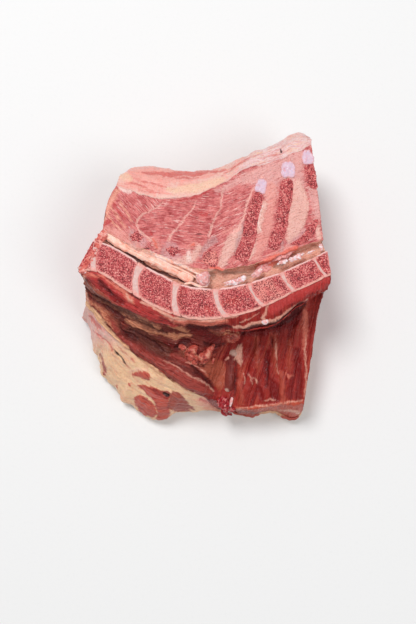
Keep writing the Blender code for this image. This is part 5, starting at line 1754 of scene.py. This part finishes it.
CAMERA_LENS = 32.83
SENSOR = 24.0
FLOOR_HALF_WIDTH = 1500.0  # mm
FLOOR_CELLS = 30  # each way
WORLD_STRENGTH = 0.38
LIGHTS = {"key": ((-0.7, 1.0, 2.3), 1.0, 46.0),  # place and size in m, and power in W
          "fill": ((1.1, -0.6, 2.0), 1.4, 15.0)}
LIGHT_TARGET = (0, 0, 0.05)


def turned_to(side, up, back, place):
    """Matrix whose columns are the object's own X, Y and Z and its place, in metres."""
    return Matrix([[side[k], up[k], back[k], place[k]] for k in range(3)] + [[0, 0, 0, 1]])


def soft_light(name, place, size, power):
    """Round lamp that faces the middle of the meat."""
    light = bpy.data.lights.new(name, "AREA")
    light.shape = "DISK"
    light.size = size
    light.energy = power
    obj = bpy.data.objects.new(name, light)
    back = unit(np.array(place) - np.array(LIGHT_TARGET))
    side = unit(np.cross((0.0, 1.0, 0.1), back))
    obj.matrix_world = turned_to(side, np.cross(back, side), back, place)
    bpy.context.scene.collection.objects.link(obj)


class LAMB_OT_stage(bpy.types.Operator):
    """Pale floor, soft lights and the camera"""

    bl_idname = "lamb.stage"
    bl_label = "Stage"

    def execute(self, context):
        scene = context.scene
        count = FLOOR_CELLS + 1
        across = np.linspace(-FLOOR_HALF_WIDTH, FLOOR_HALF_WIDTH, count)
        x, y = np.meshgrid(across, across, indexing="ij")
        column, row = np.meshgrid(*[np.arange(FLOOR_CELLS)] * 2, indexing="ij")
        corner = (column * count + row).reshape(-1, 1)
        quads = corner + (0, count, count + 1, 1)
        mesh = bpy.data.meshes.new("floor")
        mesh.from_pydata((np.stack([x, y, 0 * x], axis=-1).reshape(-1, 3) * MM).tolist(), [],
                         quads.tolist())
        mesh.materials.append(finish(paper_floor, None))
        floor = bpy.data.objects.new("floor", mesh)
        scene.collection.objects.link(floor)

        world = bpy.data.worlds.new("studio")
        scene.world = world
        world.use_nodes = True
        sky = world.node_tree.nodes["Background"].inputs
        sky["Color"].default_value = linear("FFFFFF")
        sky["Strength"].default_value = WORLD_STRENGTH
        for name, light in LIGHTS.items():
            soft_light(name, *light)

        camera = bpy.data.cameras.new("camera")
        camera.sensor_fit = "VERTICAL"
        camera.sensor_height = SENSOR
        camera.lens = CAMERA_LENS
        obj = bpy.data.objects.new("camera", camera)
        obj.matrix_world = turned_to(RIGHT, UP, -AHEAD, EYE * MM)
        scene.collection.objects.link(obj)
        scene.camera = obj
        scene.view_settings.view_transform = "Standard"
        return {"FINISHED"}


OPERATORS = (LAMB_OT_sawn_meat, LAMB_OT_front_meat, LAMB_OT_fat, LAMB_OT_spine,
             LAMB_OT_processes, LAMB_OT_cord, LAMB_OT_small_pieces, LAMB_OT_stage)


class LAMB_PT_panel(bpy.types.Panel):
    """Lists the pieces of the shoulder"""

    bl_idname = "LAMB_PT_panel"
    bl_label = "Lamb shoulder"
    bl_space_type = "VIEW_3D"
    bl_region_type = "UI"
    bl_category = "Lamb"

    def draw(self, context):
        for operator in OPERATORS:
            self.layout.operator(operator.bl_idname)


GROUPS = {"lamb_sizes": LambSizes, "lamb_meat": MeatColours, "lamb_fat": FatColours,
          "lamb_bone": BoneColours}


def register():
    for cls in (*GROUPS.values(), *OPERATORS, LAMB_PT_panel):
        bpy.utils.register_class(cls)
    for name, group in GROUPS.items():
        setattr(bpy.types.Scene, name, PointerProperty(type=group))


def unregister():
    for name in GROUPS:
        delattr(bpy.types.Scene, name)
    for cls in (LAMB_PT_panel, *reversed(OPERATORS), *GROUPS.values()):
        bpy.utils.unregister_class(cls)


def main():
    """Makes every piece and the stage."""
    register()
    bpy.ops.lamb.sawn_meat()
    bpy.ops.lamb.front_meat()
    bpy.ops.lamb.fat()
    bpy.ops.lamb.spine()
    bpy.ops.lamb.processes()
    bpy.ops.lamb.cord()
    bpy.ops.lamb.small_pieces()
    bpy.ops.lamb.stage()


if __name__ == "__main__":
    main()
